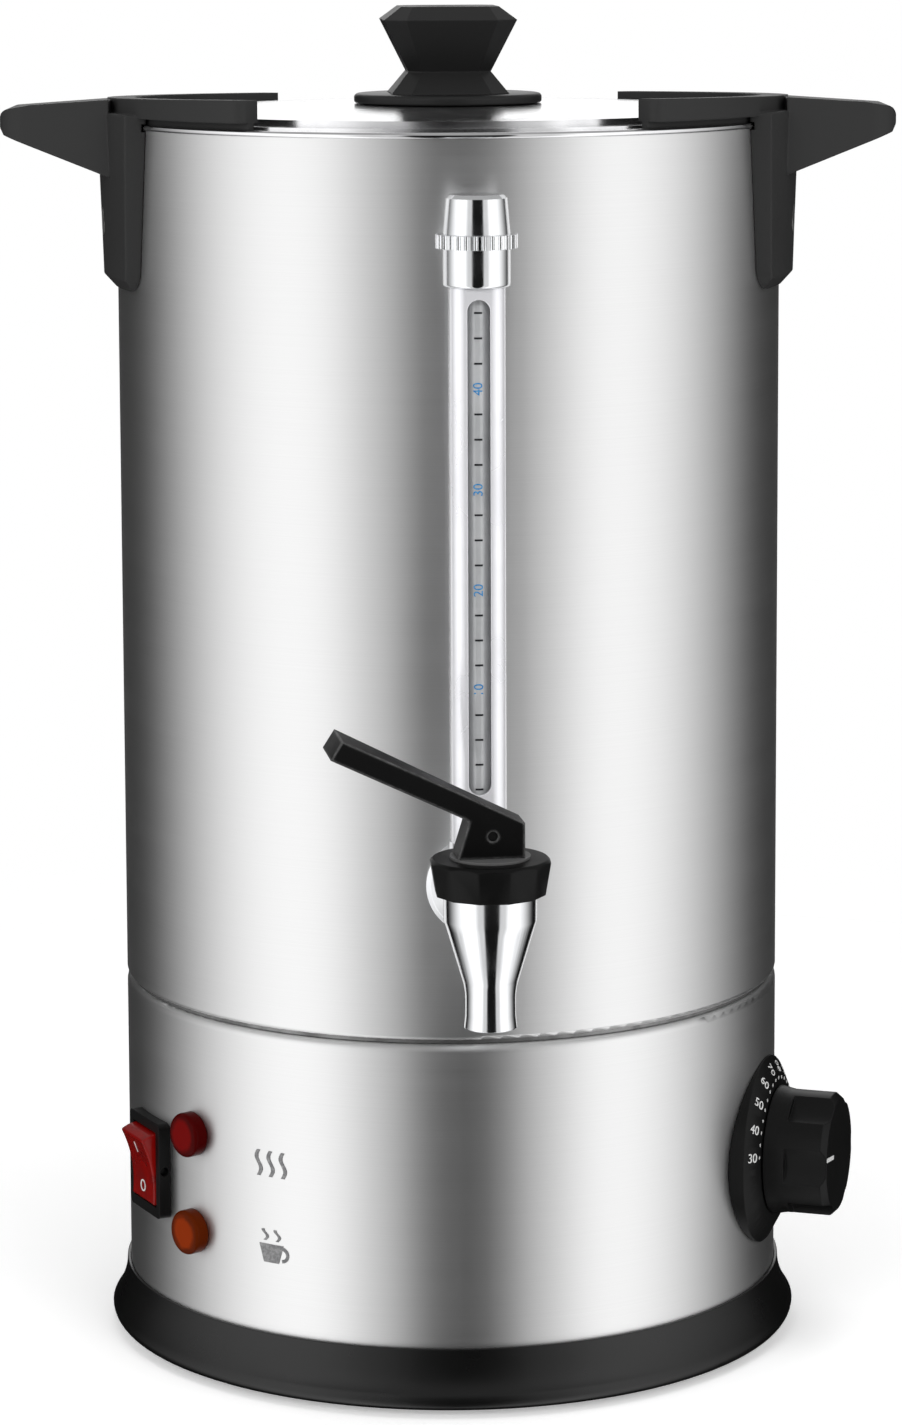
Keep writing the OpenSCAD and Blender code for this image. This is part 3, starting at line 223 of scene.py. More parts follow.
def makeFloor(s):
    bpy.ops.object.select_all(action="DESELECT")
    bpy.ops.mesh.primitive_circle_add(vertices=s["corners"], radius=s["floorRadius"], fill_type="NGON")
    floor = bpy.context.object
    floor.name = "paleFloor"
    floor.visible_glossy = False
    mat = bpy.data.materials.new("paleFloor")
    mat.use_nodes = True
    tree = mat.node_tree
    tree.nodes.clear()
    place = addNode(tree, "TexCoord").outputs["Object"]
    away = addNode(tree, "VectorMath", {0: place}, operation="LENGTH").outputs["Value"]
    fade = spread(tree, away, *s["floorFade"])
    paper = addNode(tree, "BsdfDiffuse", {"Color": (*s["floorColour"], 1)})
    seen = addNode(tree, "LightPath").outputs["Is Camera Ray"]
    lift = addNode(tree, "Emission", {"Strength": maths(tree, "MULTIPLY", seen, s["floorLift"])})
    lit = addNode(tree, "AddShader", {0: paper.outputs[0], 1: lift.outputs[0]})
    gone = addNode(tree, "BsdfTransparent")
    mix = addNode(tree, "MixShader", {0: fade})
    tree.links.new(lit.outputs[0], mix.inputs[1])
    tree.links.new(gone.outputs[0], mix.inputs[2])
    out = addNode(tree, "OutputMaterial")
    tree.links.new(mix.outputs[0], out.inputs["Surface"])
    floor.data.materials.append(mat)


makeWorld(studioSet)
makeWall(studioSet)
makeLamps(studioSet)
makeFloor(studioSet)
print("studio set")


# shared surface effects

effectSet = {
    "brush": {"Across": 9000, "Along": 14},
    "brushPatch": 0.012,  # of the fine lines' count, for the broad patches
    "turn": {"Across": 4000, "Along": 2},
    "grain": {"Scale": 1600},
    "glossScale": 38,
    "rubAndHighlight": {"Radius": 0.0008, "Scale": 400},
    "edgeBend": (0.99, 0.8),  # cosines of the bend where the edge's rubbing and painted highlight start and are full
    "smudge": {"Scale": 30},
    "smudgeTwist": 0.6,
    "smudgeRange": (0.35, 0.75),
}
edgeSamples = 4


def startGroup(name, inputs, outputs):
    group = bpy.data.node_groups.new(name, "ShaderNodeTree")
    for label, value in inputs.items():
        socket = group.interface.new_socket(name=label, in_out="INPUT", socket_type="NodeSocketFloat")
        socket.default_value = value
    for label in outputs:
        group.interface.new_socket(name=label, in_out="OUTPUT", socket_type="NodeSocketFloat")
    given = group.nodes.new("NodeGroupInput").outputs
    result = group.nodes.new("NodeGroupOutput").inputs
    place = addNode(group, "TexCoord").outputs["Object"]
    return group, given, result, place


# straight brushing round the body: long along X and Y, fine along Z
def makeBrushing(e):
    group, given, result, place = startGroup("brushing", e["brush"], ["Line", "Patch"])
    for label, share, octaves in (("Line", 1.0, 3), ("Patch", e["brushPatch"], 2)):
        across = maths(group, "MULTIPLY", given["Across"], share)
        size = addNode(group, "CombineXYZ", {"X": given["Along"], "Y": given["Along"], "Z": across})
        spot = addNode(group, "VectorMath", {0: place, 1: size.outputs[0]}, operation="MULTIPLY")
        grain = addNode(group, "TexNoise", {"Vector": spot.outputs[0], "Scale": 1.0, "Detail": octaves})
        group.links.new(grain.outputs["Fac"], result[label])
    return group


# rings left by turning or spinning about the body's axis
def makeTurning(e):
    group, given, result, place = startGroup("turning", e["turn"], ["Line"])
    part = addNode(group, "SeparateXYZ", {0: place}).outputs
    flat = addNode(group, "CombineXYZ", {"X": part["X"], "Y": part["Y"]}).outputs[0]
    radius = addNode(group, "VectorMath", {0: flat}, operation="LENGTH").outputs["Value"]
    way = addNode(group, "VectorMath", {0: flat}, operation="NORMALIZE").outputs[0]
    way = addNode(group, "VectorMath", {0: way, "Scale": given["Along"]}, operation="SCALE").outputs[0]
    ring = maths(group, "MULTIPLY", radius, given["Across"])
    spot = addNode(group, "VectorMath", {0: way}, operation="ADD")
    group.links.new(addNode(group, "CombineXYZ", {"Z": ring}).outputs[0], spot.inputs[1])
    grain = addNode(group, "TexNoise", {"Vector": spot.outputs[0], "Scale": 1.0, "Detail": 3})
    group.links.new(grain.outputs["Fac"], result["Line"])
    return group


# spark-eroded grain of moulded plastic, with broad uneven gloss
def makeMouldGrain(e):
    group, given, result, place = startGroup("mouldGrain", e["grain"], ["Height", "Gloss"])
    fine = addNode(group, "TexNoise", {"Vector": place, "Scale": given["Scale"], "Detail": 3})
    broad = addNode(group, "TexNoise", {"Vector": place, "Scale": e["glossScale"], "Detail": 4})
    group.links.new(fine.outputs["Fac"], result["Height"])
    group.links.new(broad.outputs["Fac"], result["Gloss"])
    return group


# pale mask along outer edges: where handling rubs, and on the lever a painted highlight
def makeEdgeRub(e):
    group, given, result, place = startGroup("edgeRubAndHighlight", e["rubAndHighlight"], ["Mask"])
    eased = addNode(group, "Bevel", {"Radius": given["Radius"]}, samples=edgeSamples).outputs[0]
    plain = addNode(group, "NewGeometry").outputs["Normal"]
    close = addNode(group, "VectorMath", {0: eased, 1: plain}, operation="DOT_PRODUCT").outputs["Value"]
    edge = spread(group, close, *e["edgeBend"])
    broken = addNode(group, "TexNoise", {"Vector": place, "Scale": given["Scale"], "Detail": 4})
    group.links.new(maths(group, "MULTIPLY", edge, broken.outputs["Fac"]), result["Mask"])
    return group


# finger marks and water film
def makeSmudge(e):
    group, given, result, place = startGroup("smudge", e["smudge"], ["Mask"])
    links = {"Vector": place, "Scale": given["Scale"], "Detail": 5, "Distortion": e["smudgeTwist"]}
    cloud = addNode(group, "TexNoise", links)
    group.links.new(spread(group, cloud.outputs["Fac"], *e["smudgeRange"]), result["Mask"])
    return group


effects = {
    "brushing": makeBrushing(effectSet),
    "turning": makeTurning(effectSet),
    "mouldGrain": makeMouldGrain(effectSet),
    "edgeRubAndHighlight": makeEdgeRub(effectSet),
    "smudge": makeSmudge(effectSet),
}
print("surface effects:", ", ".join(effects))


# finishes

maskRange = (0.2, 0.8)  # part of a noise that is used for roughness


def startFinish(name, **plain):
    mat = bpy.data.materials.new(name)
    mat.use_nodes = True
    tree = mat.node_tree
    skin = tree.nodes["Principled BSDF"]
    for label, value in plain.items():
        skin.inputs[label.replace("_", " ")].default_value = value
    return mat, tree, skin


def effect(tree, name, **values):
    node = addNode(tree, "Group", node_tree=effects[name])
    for label, value in values.items():
        node.inputs[label].default_value = value
    return node.outputs


def roughen(tree, skin, mask, low, high):
    tree.links.new(spread(tree, mask, *maskRange, low, high, "LINEAR"), skin.inputs["Roughness"])


def bump(tree, skin, height, depth, under=None):
    links = {"Height": height, "Distance": depth, "Strength": 1.0}
    if under is not None:
        links["Normal"] = under
    tree.links.new(addNode(tree, "Bump", links).outputs[0], skin.inputs["Normal"])


def rounded(tree, radius):
    return addNode(tree, "Bevel", {"Radius": radius}, samples=edgeSamples).outputs[0]


# colour, rubbed colour along edges (on the lever mostly a painted highlight), roughness, depth of grain,
# edge radius, specular level
mouldingSet = {
    "baseBlack": (0.003, 0.01, (0.24, 0.34), 0.000003, 0.0006, 0.4),
    "handleBlack": (0.03, 0.055, (0.42, 0.56), 0.00001, 0.0012, 0.13),
    "bonnetBlack": (0.003, 0.012, (0.34, 0.48), 0.000008, 0.0007, 0.13),
    "mouldedBlack": (0.013, 0.03, (0.36, 0.5), 0.00001, 0.0007, 0.25),
    # the lever's pale edge colour is mostly a painted highlight on its edges
    "leverBlack": (0.002, 0.3, (0.34, 0.55), 0.00006, 0.0015, 0.12),
    "dialBlack": (0.005, 0.016, (0.34, 0.46), 0.000006, 0.0005, 0.14),
    "rubberBlack": (0.012, 0.03, (0.62, 0.8), 0.00003, 0.0004, 0.2),
    "washerGrey": (0.1, 0.16, (0.35, 0.5), 0.00001, 0.0004, 0.3),
    "whitePlastic": (0.62, 0.78, (0.35, 0.5), 0.00001, 0.0004, 0.5),
    "silicone": (0.5, 0.68, (0.4, 0.55), 0.00001, 0.0004, 0.4),
}


def makeMoulding(name, dark, light, gloss, depth, edge, shine):
    mat, tree, skin = startFinish(name, Specular_IOR_Level=shine)
    grain = effect(tree, "mouldGrain")
    # pale edges: rubbing, and on the lever a painted highlight
    rubAndHighlight = effect(tree, "edgeRubAndHighlight", Radius=edge)
    tree.links.new(twoTone(tree, rubAndHighlight["Mask"], (dark,) * 3, (light,) * 3), skin.inputs["Base Color"])
    roughen(tree, skin, grain["Gloss"], *gloss)
    bump(tree, skin, grain["Height"], depth, rounded(tree, edge))
    return mat


# dulled colour, clean colour, roughness, scale of the smudges
metalSet = {
    "chrome": ((0.80, 0.81, 0.83), (0.88, 0.89, 0.90), (0.10, 0.17), 45),
    "blackSteel": ((0.012, 0.012, 0.013), (0.03, 0.03, 0.03), (0.4, 0.6), 160),
    "seamSteel": ((0.16, 0.16, 0.16), (0.24, 0.24, 0.24), (0.4, 0.55), 120),
    "zincSteel": ((0.42, 0.42, 0.41), (0.62, 0.62, 0.60), (0.3, 0.5), 160),
    "tankSteel": ((0.52, 0.52, 0.52), (0.64, 0.64, 0.64), (0.26, 0.4), 22),
    "aluminium": ((0.62, 0.62, 0.63), (0.75, 0.75, 0.76), (0.38, 0.52), 60),
    "elementSheath": ((0.13, 0.12, 0.12), (0.26, 0.24, 0.22), (0.4, 0.6), 90),
    "copper": ((0.55, 0.24, 0.13), (0.78, 0.38, 0.22), (0.2, 0.42), 120),
    "brass": ((0.52, 0.36, 0.12), (0.75, 0.55, 0.22), (0.16, 0.36), 90),
}
metalEdge = 0.0003


def makeMetal(name, dark, light, rough, scale):
    mat, tree, skin = startFinish(name, Metallic=1.0)
    film = effect(tree, "smudge", Scale=scale)
    tree.links.new(twoTone(tree, film["Mask"], light, dark), skin.inputs["Base Color"])
    roughen(tree, skin, film["Mask"], *rough)
    tree.links.new(rounded(tree, metalEdge), skin.inputs["Normal"])
    return mat


steelSet = {
    "brushedDark": (0.72, 0.72, 0.72),
    "brushedLight": (0.75, 0.75, 0.75),
    "brushedRough": (0.38, 0.46),
    "brushedPull": 0.6,
    "polishedDark": (0.70, 0.70, 0.71),
    "polishedLight": (0.80, 0.80, 0.81),
    "polishedRough": (0.08, 0.18),
    "satinRough": (0.16, 0.26),
    "lineShare": (0.85, 0.15),  # of fine lines and of broad patches in the brushing
    "lineRange": (0.3, 0.7),
    "lineDepth": 0.0000005,
    "ringDepth": 0.0000006,
    "smudgeScale": 26,
}


def makeBrushedSteel(s):
    mat, tree, skin = startFinish(
        "brushedSteel", Metallic=1.0, Anisotropic=s["brushedPull"], Anisotropic_Rotation=0.25
    )
    lines = effect(tree, "brushing")
    fine, broad = s["lineShare"]
    both = maths(tree, "MULTIPLY_ADD", lines["Patch"], broad, maths(tree, "MULTIPLY", lines["Line"], fine))
    mask = spread(tree, both, *s["lineRange"])
    tree.links.new(twoTone(tree, mask, s["brushedDark"], s["brushedLight"]), skin.inputs["Base Color"])
    roughen(tree, skin, both, *s["brushedRough"])
    bump(tree, skin, lines["Line"], s["lineDepth"])
    way = addNode(tree, "Tangent", direction_type="RADIAL", axis="Z")
    tree.links.new(way.outputs[0], skin.inputs["Tangent"])
    return mat


def makePolishedSteel(name, rough, s):
    mat, tree, skin = startFinish(name, Metallic=1.0)
    rings = effect(tree, "turning")
    film = effect(tree, "smudge", Scale=s["smudgeScale"])
    tone = twoTone(tree, film["Mask"], s["polishedLight"], s["polishedDark"])
    tree.links.new(tone, skin.inputs["Base Color"])
    roughen(tree, skin, film["Mask"], *rough)
    bump(tree, skin, rings["Line"], s["ringDepth"])
    return mat


lensSet = {
    "azimuth": math.radians(-54),
    "rim": (0.0044, 0.0068),  # radii between which the face deepens into the painted shade of the rim
    "uneven": 0.0012,  # metres that the rim's edge wanders
    "rough": (0.08, 0.18),
    "smudgeScale": 140,
    "edge": 0.0006,
    "redLens": {"height": 0.0835, "face": (0.15, 0.0012, 0.001), "rim": (0.05, 0.001, 0.001)},
    "amberLens": {"height": 0.050, "face": (0.24, 0.026, 0.001), "rim": (0.085, 0.011, 0.001)},
}


# moulded lens: colour by distance from its own axis, darkening into painted shade towards the rim
def makeLens(name, s):
    lens = s[name]
    mat, tree, skin = startFinish(name, IOR=1.49, Specular_IOR_Level=0.03)
    axis = (math.sin(s["azimuth"]), -math.cos(s["azimuth"]), 0)
    place = addNode(tree, "TexCoord").outputs["Object"]
    centre = (0, 0, lens["height"])
    aside = addNode(tree, "VectorMath", {0: place, 1: centre}, operation="SUBTRACT").outputs[0]
    aside = addNode(tree, "VectorMath", {0: aside, 1: axis}, operation="CROSS_PRODUCT").outputs[0]
    away = addNode(tree, "VectorMath", {0: aside}, operation="LENGTH").outputs["Value"]
    film = effect(tree, "smudge", Scale=s["smudgeScale"])
    depth = maths(tree, "MULTIPLY_ADD", film["Mask"], s["uneven"], away)
    # the darker rim colour is painted shade on the lens's edge
    tone = twoTone(tree, spread(tree, depth, *s["rim"]), lens["face"], lens["rim"])
    tree.links.new(tone, skin.inputs["Base Color"])
    roughen(tree, skin, film["Mask"], *s["rough"])
    tree.links.new(rounded(tree, s["edge"]), skin.inputs["Normal"])
    return mat


rockerSet = {
    "dark": (0.14, 0.001, 0.001),
    "light": (0.22, 0.003, 0.002),
    "rough": (0.16, 0.28),
    "smudgeScale": 140,
    "edge": 0.0006,
    "azimuth": math.radians(-68),
    "pivot": (0.0096, 0.0098),  # half width past which the black pivots begin
    "pivotBlack": (0.006, 0.006, 0.006),
}


def makeRockerRed(r):
    mat, tree, skin = startFinish("redRocker", IOR=1.49, Specular_IOR_Level=0.25)
    film = effect(tree, "smudge", Scale=r["smudgeScale"])
    red = twoTone(tree, film["Mask"], r["light"], r["dark"])
    place = addNode(tree, "TexCoord").outputs["Object"]
    across = (math.cos(r["azimuth"]), math.sin(r["azimuth"]), 0)
    aside = addNode(tree, "VectorMath", {0: place, 1: across}, operation="DOT_PRODUCT").outputs["Value"]
    pivot = spread(tree, maths(tree, "ABSOLUTE", aside), *r["pivot"])
    tree.links.new(twoTone(tree, pivot, red, r["pivotBlack"]), skin.inputs["Base Color"])
    roughen(tree, skin, film["Mask"], *r["rough"])
    tree.links.new(rounded(tree, r["edge"]), skin.inputs["Normal"])
    return mat


glassSet = {
    "clean": (0.66, 0.67, 0.68),
    "filmed": (0.54, 0.55, 0.56),
    "rough": (0.0, 0.05),
    "smudgeScale": 60,
}


def makeGlass(g):
    mat, tree, skin = startFinish(
        "gaugeGlass", IOR=1.47, Transmission_Weight=0.25, Coat_Weight=1.0, Coat_IOR=2.0, Coat_Roughness=0.06
    )
    film = effect(tree, "smudge", Scale=g["smudgeScale"])
    tree.links.new(twoTone(tree, film["Mask"], g["clean"], g["filmed"]), skin.inputs["Base Color"])
    roughen(tree, skin, film["Mask"], *g["rough"])
    return mat


shieldSet = {
    "clean": (0.9, 0.9, 0.93),
    "filmed": (0.82, 0.82, 0.85),
    "rough": (0.18, 0.3),
    "smudgeScale": 35,
    "edge": 0.0005,
}


def makeShieldSilver(g):
    mat, tree, skin = startFinish("shieldSilver", Metallic=0.35)
    film = effect(tree, "smudge", Scale=g["smudgeScale"])
    tree.links.new(twoTone(tree, film["Mask"], g["clean"], g["filmed"]), skin.inputs["Base Color"])
    roughen(tree, skin, film["Mask"], *g["rough"])
    tree.links.new(rounded(tree, g["edge"]), skin.inputs["Normal"])
    return mat


inkSet = {"scale": 900, "rough": (0.4, 0.6)}
printSet = {
    "printWhite": {"thin": (0.5, 0.5, 0.5), "full": (0.8, 0.8, 0.79)},
    "printBlack": {"thin": (0.03, 0.03, 0.035), "full": (0.008, 0.008, 0.01)},
    "printBlue": {"thin": (0.1, 0.34, 0.6), "full": (0.02, 0.2, 0.5)},
    "printGrey": {"thin": (0.3, 0.3, 0.3), "full": (0.16, 0.16, 0.165)},
}


# ink that covers unevenly
def makePrint(name, p):
    mat, tree, skin = startFinish(name, Specular_IOR_Level=0.3)
    ink = effect(tree, "smudge", Scale=inkSet["scale"])
    tree.links.new(twoTone(tree, ink["Mask"], p["full"], p["thin"]), skin.inputs["Base Color"])
    roughen(tree, skin, ink["Mask"], *inkSet["rough"])
    return mat


finishes = {name: makeMoulding(name, *m) for name, m in mouldingSet.items()}
finishes.update({name: makePrint(name, p) for name, p in printSet.items()})
finishes.update({name: makeMetal(name, *m) for name, m in metalSet.items()})
finishes.update({name: makeLens(name, lensSet) for name in ("redLens", "amberLens")})
finishes["redRocker"] = makeRockerRed(rockerSet)
finishes["brushedSteel"] = makeBrushedSteel(steelSet)
finishes["polishedSteel"] = makePolishedSteel("polishedSteel", steelSet["polishedRough"], steelSet)
finishes["satinSteel"] = makePolishedSteel("satinSteel", steelSet["satinRough"], steelSet)
finishes["gaugeGlass"] = makeGlass(glassSet)
finishes["shieldSilver"] = makeShieldSilver(shieldSet)

finishOf = {
    "mouldedBlack": ["cord_gland", "gland_nut", "thermostat_body", "terminal_block"],
    "rubberBlack": ["base_feet", "gauge_seals"],
    "seamSteel": ["seam_ring"],
    "whitePlastic": ["lamp_holders"],
    "washerGrey": ["thrust_washer"],
    "silicone": ["tap_seals", "seat_cup"],
    "brushedSteel": ["outer_shell", "lower_housing"],
    "polishedSteel": ["rim_ring"],
    "satinSteel": ["lid"],
    "tankSteel": ["tank", "base_plate"],
    "chrome": [
        "tap_flange", "gauge_tee", "gauge_collar", "gauge_nut", "gauge_cap", "tap_shank",
        "shank_spacer", "tap_stem",
    ],
    "zincSteel": ["base_screws", "handle_screws", "lid_screw", "thermostat_spindle"],
    "blackSteel": ["lever_pin"],
    "aluminium": ["heater_plate"],
    "elementSheath": ["heater_element"],
    "copper": ["thermostat_bulb"],
    "brass": ["dry_boil_cutout", "shank_nut"],
    "gaugeGlass": ["gauge_tube"],
}
for finish, names in finishOf.items():
    for name in names:
        slots = nodes[name].data.materials
        slots.clear()
        slots.append(finishes[finish])
print("finishes:", len(finishes), "on", sum(len(n) for n in finishOf.values()), "nodes")


# modelling helpers

bodies = frame["record"]["behaviour"]["bodies"]
bodyOf = {node: body for body, members in bodies.items() for node in members}
copySet = {"merge": 0.00001, "flat": 0.4}  # metres, degrees


def pick(*pieces):
    bpy.ops.object.select_all(action="DESELECT")
    for piece in pieces:
        piece.select_set(True)
    bpy.context.view_layer.objects.active = pieces[0]


def dress(piece, finish, body):
    piece.data.materials.clear()
    piece.data.materials.append(finishes[finish])
    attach(piece, body)


# a moulding's own mesh, merged, with its flat faces whole
def copyNode(node, name, finish):
    piece = bpy.data.objects.new(name, nodes[node].data.copy())
    scene.collection.objects.link(piece)
    pick(piece)
    bpy.ops.mesh.customdata_custom_splitnormals_clear()
    bpy.ops.object.mode_set(mode="EDIT")
    bpy.ops.mesh.select_all(action="SELECT")
    bpy.ops.mesh.remove_doubles(threshold=copySet["merge"])
    bpy.ops.mesh.dissolve_limited(angle_limit=math.radians(copySet["flat"]))
    bpy.ops.object.mode_set(mode="OBJECT")
    dress(piece, finish, bodyOf[node])
    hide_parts(node)
    return piece


def bevelEdges(piece, wanted, width, steps):
    pick(piece)
    bpy.ops.object.mode_set(mode="EDIT")
    bpy.ops.mesh.select_mode(type="EDGE")
    bpy.ops.mesh.select_all(action="DESELECT")
    bpy.ops.object.mode_set(mode="OBJECT")
    points = piece.data.vertices
    for edge in piece.data.edges:
        edge.select = wanted(*(points[i].co for i in edge.vertices))
    bpy.ops.object.mode_set(mode="EDIT")
    bpy.ops.mesh.bevel(offset=width, segments=steps, affect="EDGES", clamp_overlap=True)
    bpy.ops.object.mode_set(mode="OBJECT")


def softenEdges(piece, width, steps, angle):
    pick(piece)
    bpy.ops.object.shade_smooth()
    soft = piece.modifiers.new("softEdge", "BEVEL")
    soft.width = width
    soft.segments = steps
    soft.limit_method = "ANGLE"
    soft.angle_limit = math.radians(angle)
    soft.harden_normals = True
    bpy.ops.object.modifier_apply(modifier=soft.name)


# mouldings with softened edges: piece, finish, edge width in metres, steps, least angle

softSet = {
    "base_skirt": ("baseRing", "baseBlack", 0.0008, 3, 40),
    "knob_shield": ("heatShield", "mouldedBlack", 0.0008, 3, 40),
    "lid_knob": ("lidKnob", "mouldedBlack", 0.0012, 4, 16),
    "tap_bonnet": ("tapBonnet", "bonnetBlack", 0.0005, 3, 18),
    "tap_lever": ("tapLever", "leverBlack", 0.0008, 3, 25),
    "dial_plate": ("dialPlate", "dialBlack", 0.0006, 3, 30),
    "dial_knob": ("dialKnob", "dialBlack", 0.0009, 4, 30),
    "switch_frame": ("switchFrame", "dialBlack", 0.0006, 3, 40),
    "heat_lens": ("heatLens", "redLens", 0.0005, 3, 50),
    "warm_lens": ("warmLens", "amberLens", 0.0005, 3, 50),
    "gauge_shield": ("gaugeShield", "shieldSilver", 0.0003, 2, 40),
}
for node, (name, finish, width, steps, angle) in softSet.items():
    softenEdges(copyNode(node, name, finish), width, steps, angle)
print("soft mouldings:", len(softSet))


# tap body: the cup runs into the cone and the cone into the spout in soft bends

tapSet = {
    "axis": -0.174,
    "bends": ((0.1575, 0.0079, 0.0045), (0.1802, 0.0145, 0.0055)),  # height, radius and width of each
    "bendNear": 0.0003,
    "bendSteps": 6,
    "bossSide": 0.006,  # the boss joins the cup behind this
    "soft": (0.0004, 2, 40),  # edge width in metres, steps, least angle
}


def atBend(point, height, radius, t):
    away = math.hypot(point.x, point.y - t["axis"])
    near = abs(point.z - height) < t["bendNear"] and abs(away - radius) < t["bendNear"]
    return near and point.y < t["axis"] + t["bossSide"]


def makeTapBody(t):
    piece = copyNode("tap_body", "tapBody", "chrome")
    for height, radius, width in t["bends"]:
        bevelEdges(
            piece, lambda *ends: all(atBend(end, height, radius, t) for end in ends), width, t["bendSteps"]
        )
    softenEdges(piece, *t["soft"])


makeTapBody(tapSet)
print("tap body shaped")


# tap spring: a smooth-shaded copy with a mesh of its own


def makeSpring():
    piece = copyNode("tap_spring", "tapSpring", "zincSteel")
    pick(piece)
    bpy.ops.object.shade_smooth()
    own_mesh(piece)


makeSpring()


# handles: corners of the hood's ends, nose of the grip, then all edges

handleSet = {
    "places": (("handle_left", "handleLeft", -94), ("handle_right", "handleRight", 86)),
    "hoodSpan": 55,  # degrees from the handle's middle to an end of its hood
    "hoodRadius": 0.1158,
    "hoodRound": 0.0042,
    "hoodCuts": 6,
    "noseReach": 0.151,
    "noseEdges": (  # height, radius and leans of the cuts along the nose's upper and lower edge
        (0.4240, -0.0044, (12, 26, 40, 54, 68, 80)),
        (0.41575, 0.0032, (-10, -20, -30)),
    ),
    "soft": (0.0009, 3, 32),
}


def cutAway(place, way):
    bpy.ops.mesh.select_all(action="SELECT")
    bpy.ops.mesh.bisect(plane_co=place, plane_no=way, use_fill=True, clear_outer=True)


# the outer corner of a hood's end, cut round by planes that touch one circle
def roundHoodEnd(piece, azimuth, side, h):
    pick(piece)
    end = math.radians(azimuth + side * h["hoodSpan"])
    out = Vector((math.sin(end), -math.cos(end), 0))
    along = Vector((math.cos(end), math.sin(end), 0)) * side
    middle = out * (h["hoodRadius"] - h["hoodRound"]) - along * h["hoodRound"]
    bpy.ops.object.mode_set(mode="EDIT")
    for i in range(h["hoodCuts"]):
        lean = math.radians(90 * (i + 0.5) / h["hoodCuts"])
        way = out * math.cos(lean) + along * math.sin(lean)
        cutAway(middle + way * h["hoodRound"], way)
    bpy.ops.object.mode_set(mode="OBJECT")


# the nose's edges, cut round in the same way
def roundNose(piece, azimuth, h):
    pick(piece)
    turn = math.radians(azimuth)
    out = Vector((math.sin(turn), -math.cos(turn), 0))
    bpy.ops.object.mode_set(mode="EDIT")
    for height, radius, leans in h["noseEdges"]:
        middle = out * (h["noseReach"] - abs(radius)) + Vector((0, 0, height + radius))
        for lean in leans:
            way = out * math.cos(math.radians(lean)) + Vector((0, 0, math.sin(math.radians(lean))))
            cutAway(middle + way * abs(radius), way)
    bpy.ops.object.mode_set(mode="OBJECT")


def makeHandle(node, name, azimuth, h):
    piece = copyNode(node, name, "handleBlack")
    for side in (-1, 1):
        roundHoodEnd(piece, azimuth, side, h)
    roundNose(piece, azimuth, h)
    softenEdges(piece, *h["soft"])


for place in handleSet["places"]:
    makeHandle(*place, handleSet)
print("handles shaped")


# flat marks, drawn with X across and Y up, then given a thickness and laid on a surface

markSet = {
    "thick": 0.00012,
    "lift": 0.00002,
    "merge": 0.000005,
    "dotCorners": 16,
    "dotInset": 0.2,  # of the dot's radius
    "stub": 0.0002,  # length of a stroke's first piece
    "edgeNear": 0.00001,
}


def layMark(mark, place, turn):
    mark.data.transform(Matrix.Translation((*place, 0)) @ Matrix.Rotation(math.radians(turn), 4, "Z"))
    return mark


def drawText(words, size, place=(0, 0), turn=0):
    bpy.ops.object.select_all(action="DESELECT")
    bpy.ops.object.text_add()
    mark = bpy.context.object
    mark.data.body = words
    mark.data.size = size
    mark.data.align_x = "CENTER"
    mark.data.align_y = "CENTER"
    bpy.ops.object.convert(target="MESH")
    return layMark(bpy.context.object, place, turn)


def drawBar(width, height, place=(0, 0), turn=0, cuts=4):
    bpy.ops.object.select_all(action="DESELECT")
    bpy.ops.mesh.primitive_plane_add(size=1)
    mark = bpy.context.object
    mark.data.transform(Matrix.Diagonal((width, height, 1, 1)))
    bpy.ops.object.mode_set(mode="EDIT")
    bpy.ops.mesh.subdivide(number_cuts=cuts)
    bpy.ops.object.mode_set(mode="OBJECT")
    return layMark(mark, place, turn)


def drawDot(radius, place):
    bpy.ops.object.select_all(action="DESELECT")
    bpy.ops.mesh.primitive_circle_add(vertices=markSet["dotCorners"], radius=radius, fill_type="NGON")
    mark = bpy.context.object
    bpy.ops.object.mode_set(mode="EDIT")
    bpy.ops.mesh.inset(thickness=radius * markSet["dotInset"])
    bpy.ops.object.mode_set(mode="OBJECT")
    mark.data.transform(Matrix.Translation((*place, 0)))
    return mark


# a stroke that follows a list of points, extruded edge by edge
def drawStroke(points, width):
    bpy.ops.object.select_all(action="DESELECT")
    bpy.ops.mesh.primitive_plane_add(size=1)
    mark = bpy.context.object
    stub = markSet["stub"]
    start = Matrix.Translation((points[0][0], points[0][1] - stub / 2, 0))
    mark.data.transform(start @ Matrix.Diagonal((width, stub, 1, 1)))
    top = max(v.co.y for v in mark.data.vertices)
    bpy.ops.object.mode_set(mode="EDIT")
    bpy.ops.mesh.select_mode(type="EDGE")
    bpy.ops.mesh.select_all(action="DESELECT")
    bpy.ops.object.mode_set(mode="OBJECT")
    for edge in mark.data.edges:
        edge.select = all(mark.data.vertices[i].co.y > top - markSet["edgeNear"] for i in edge.vertices)
    bpy.ops.object.mode_set(mode="EDIT")
    for here, there in zip(points, points[1:]):
        move = (there[0] - here[0], there[1] - here[1], 0)
        bpy.ops.mesh.extrude_edges_move(TRANSFORM_OT_translate={"value": move})
    bpy.ops.object.mode_set(mode="OBJECT")
    return mark


def joinMarks(name, marks, m):
    pick(*marks)
    if len(marks) > 1:
        bpy.ops.object.join()
    piece = bpy.context.object
    piece.name = name
    bpy.ops.object.mode_set(mode="EDIT")
    bpy.ops.mesh.select_all(action="SELECT")
    bpy.ops.mesh.remove_doubles(threshold=m["merge"])
    bpy.ops.mesh.normals_make_consistent(inside=False)
    bpy.ops.object.mode_set(mode="OBJECT")
    wall = piece.modifiers.new("ink", "SOLIDIFY")
    wall.thickness = m["thick"]
    wall.offset = 0
    bpy.ops.object.modifier_apply(modifier=wall.name)
    piece.data.transform(Matrix.Translation((0, 0, m["thick"] / 2 + m["lift"])))
    return piece


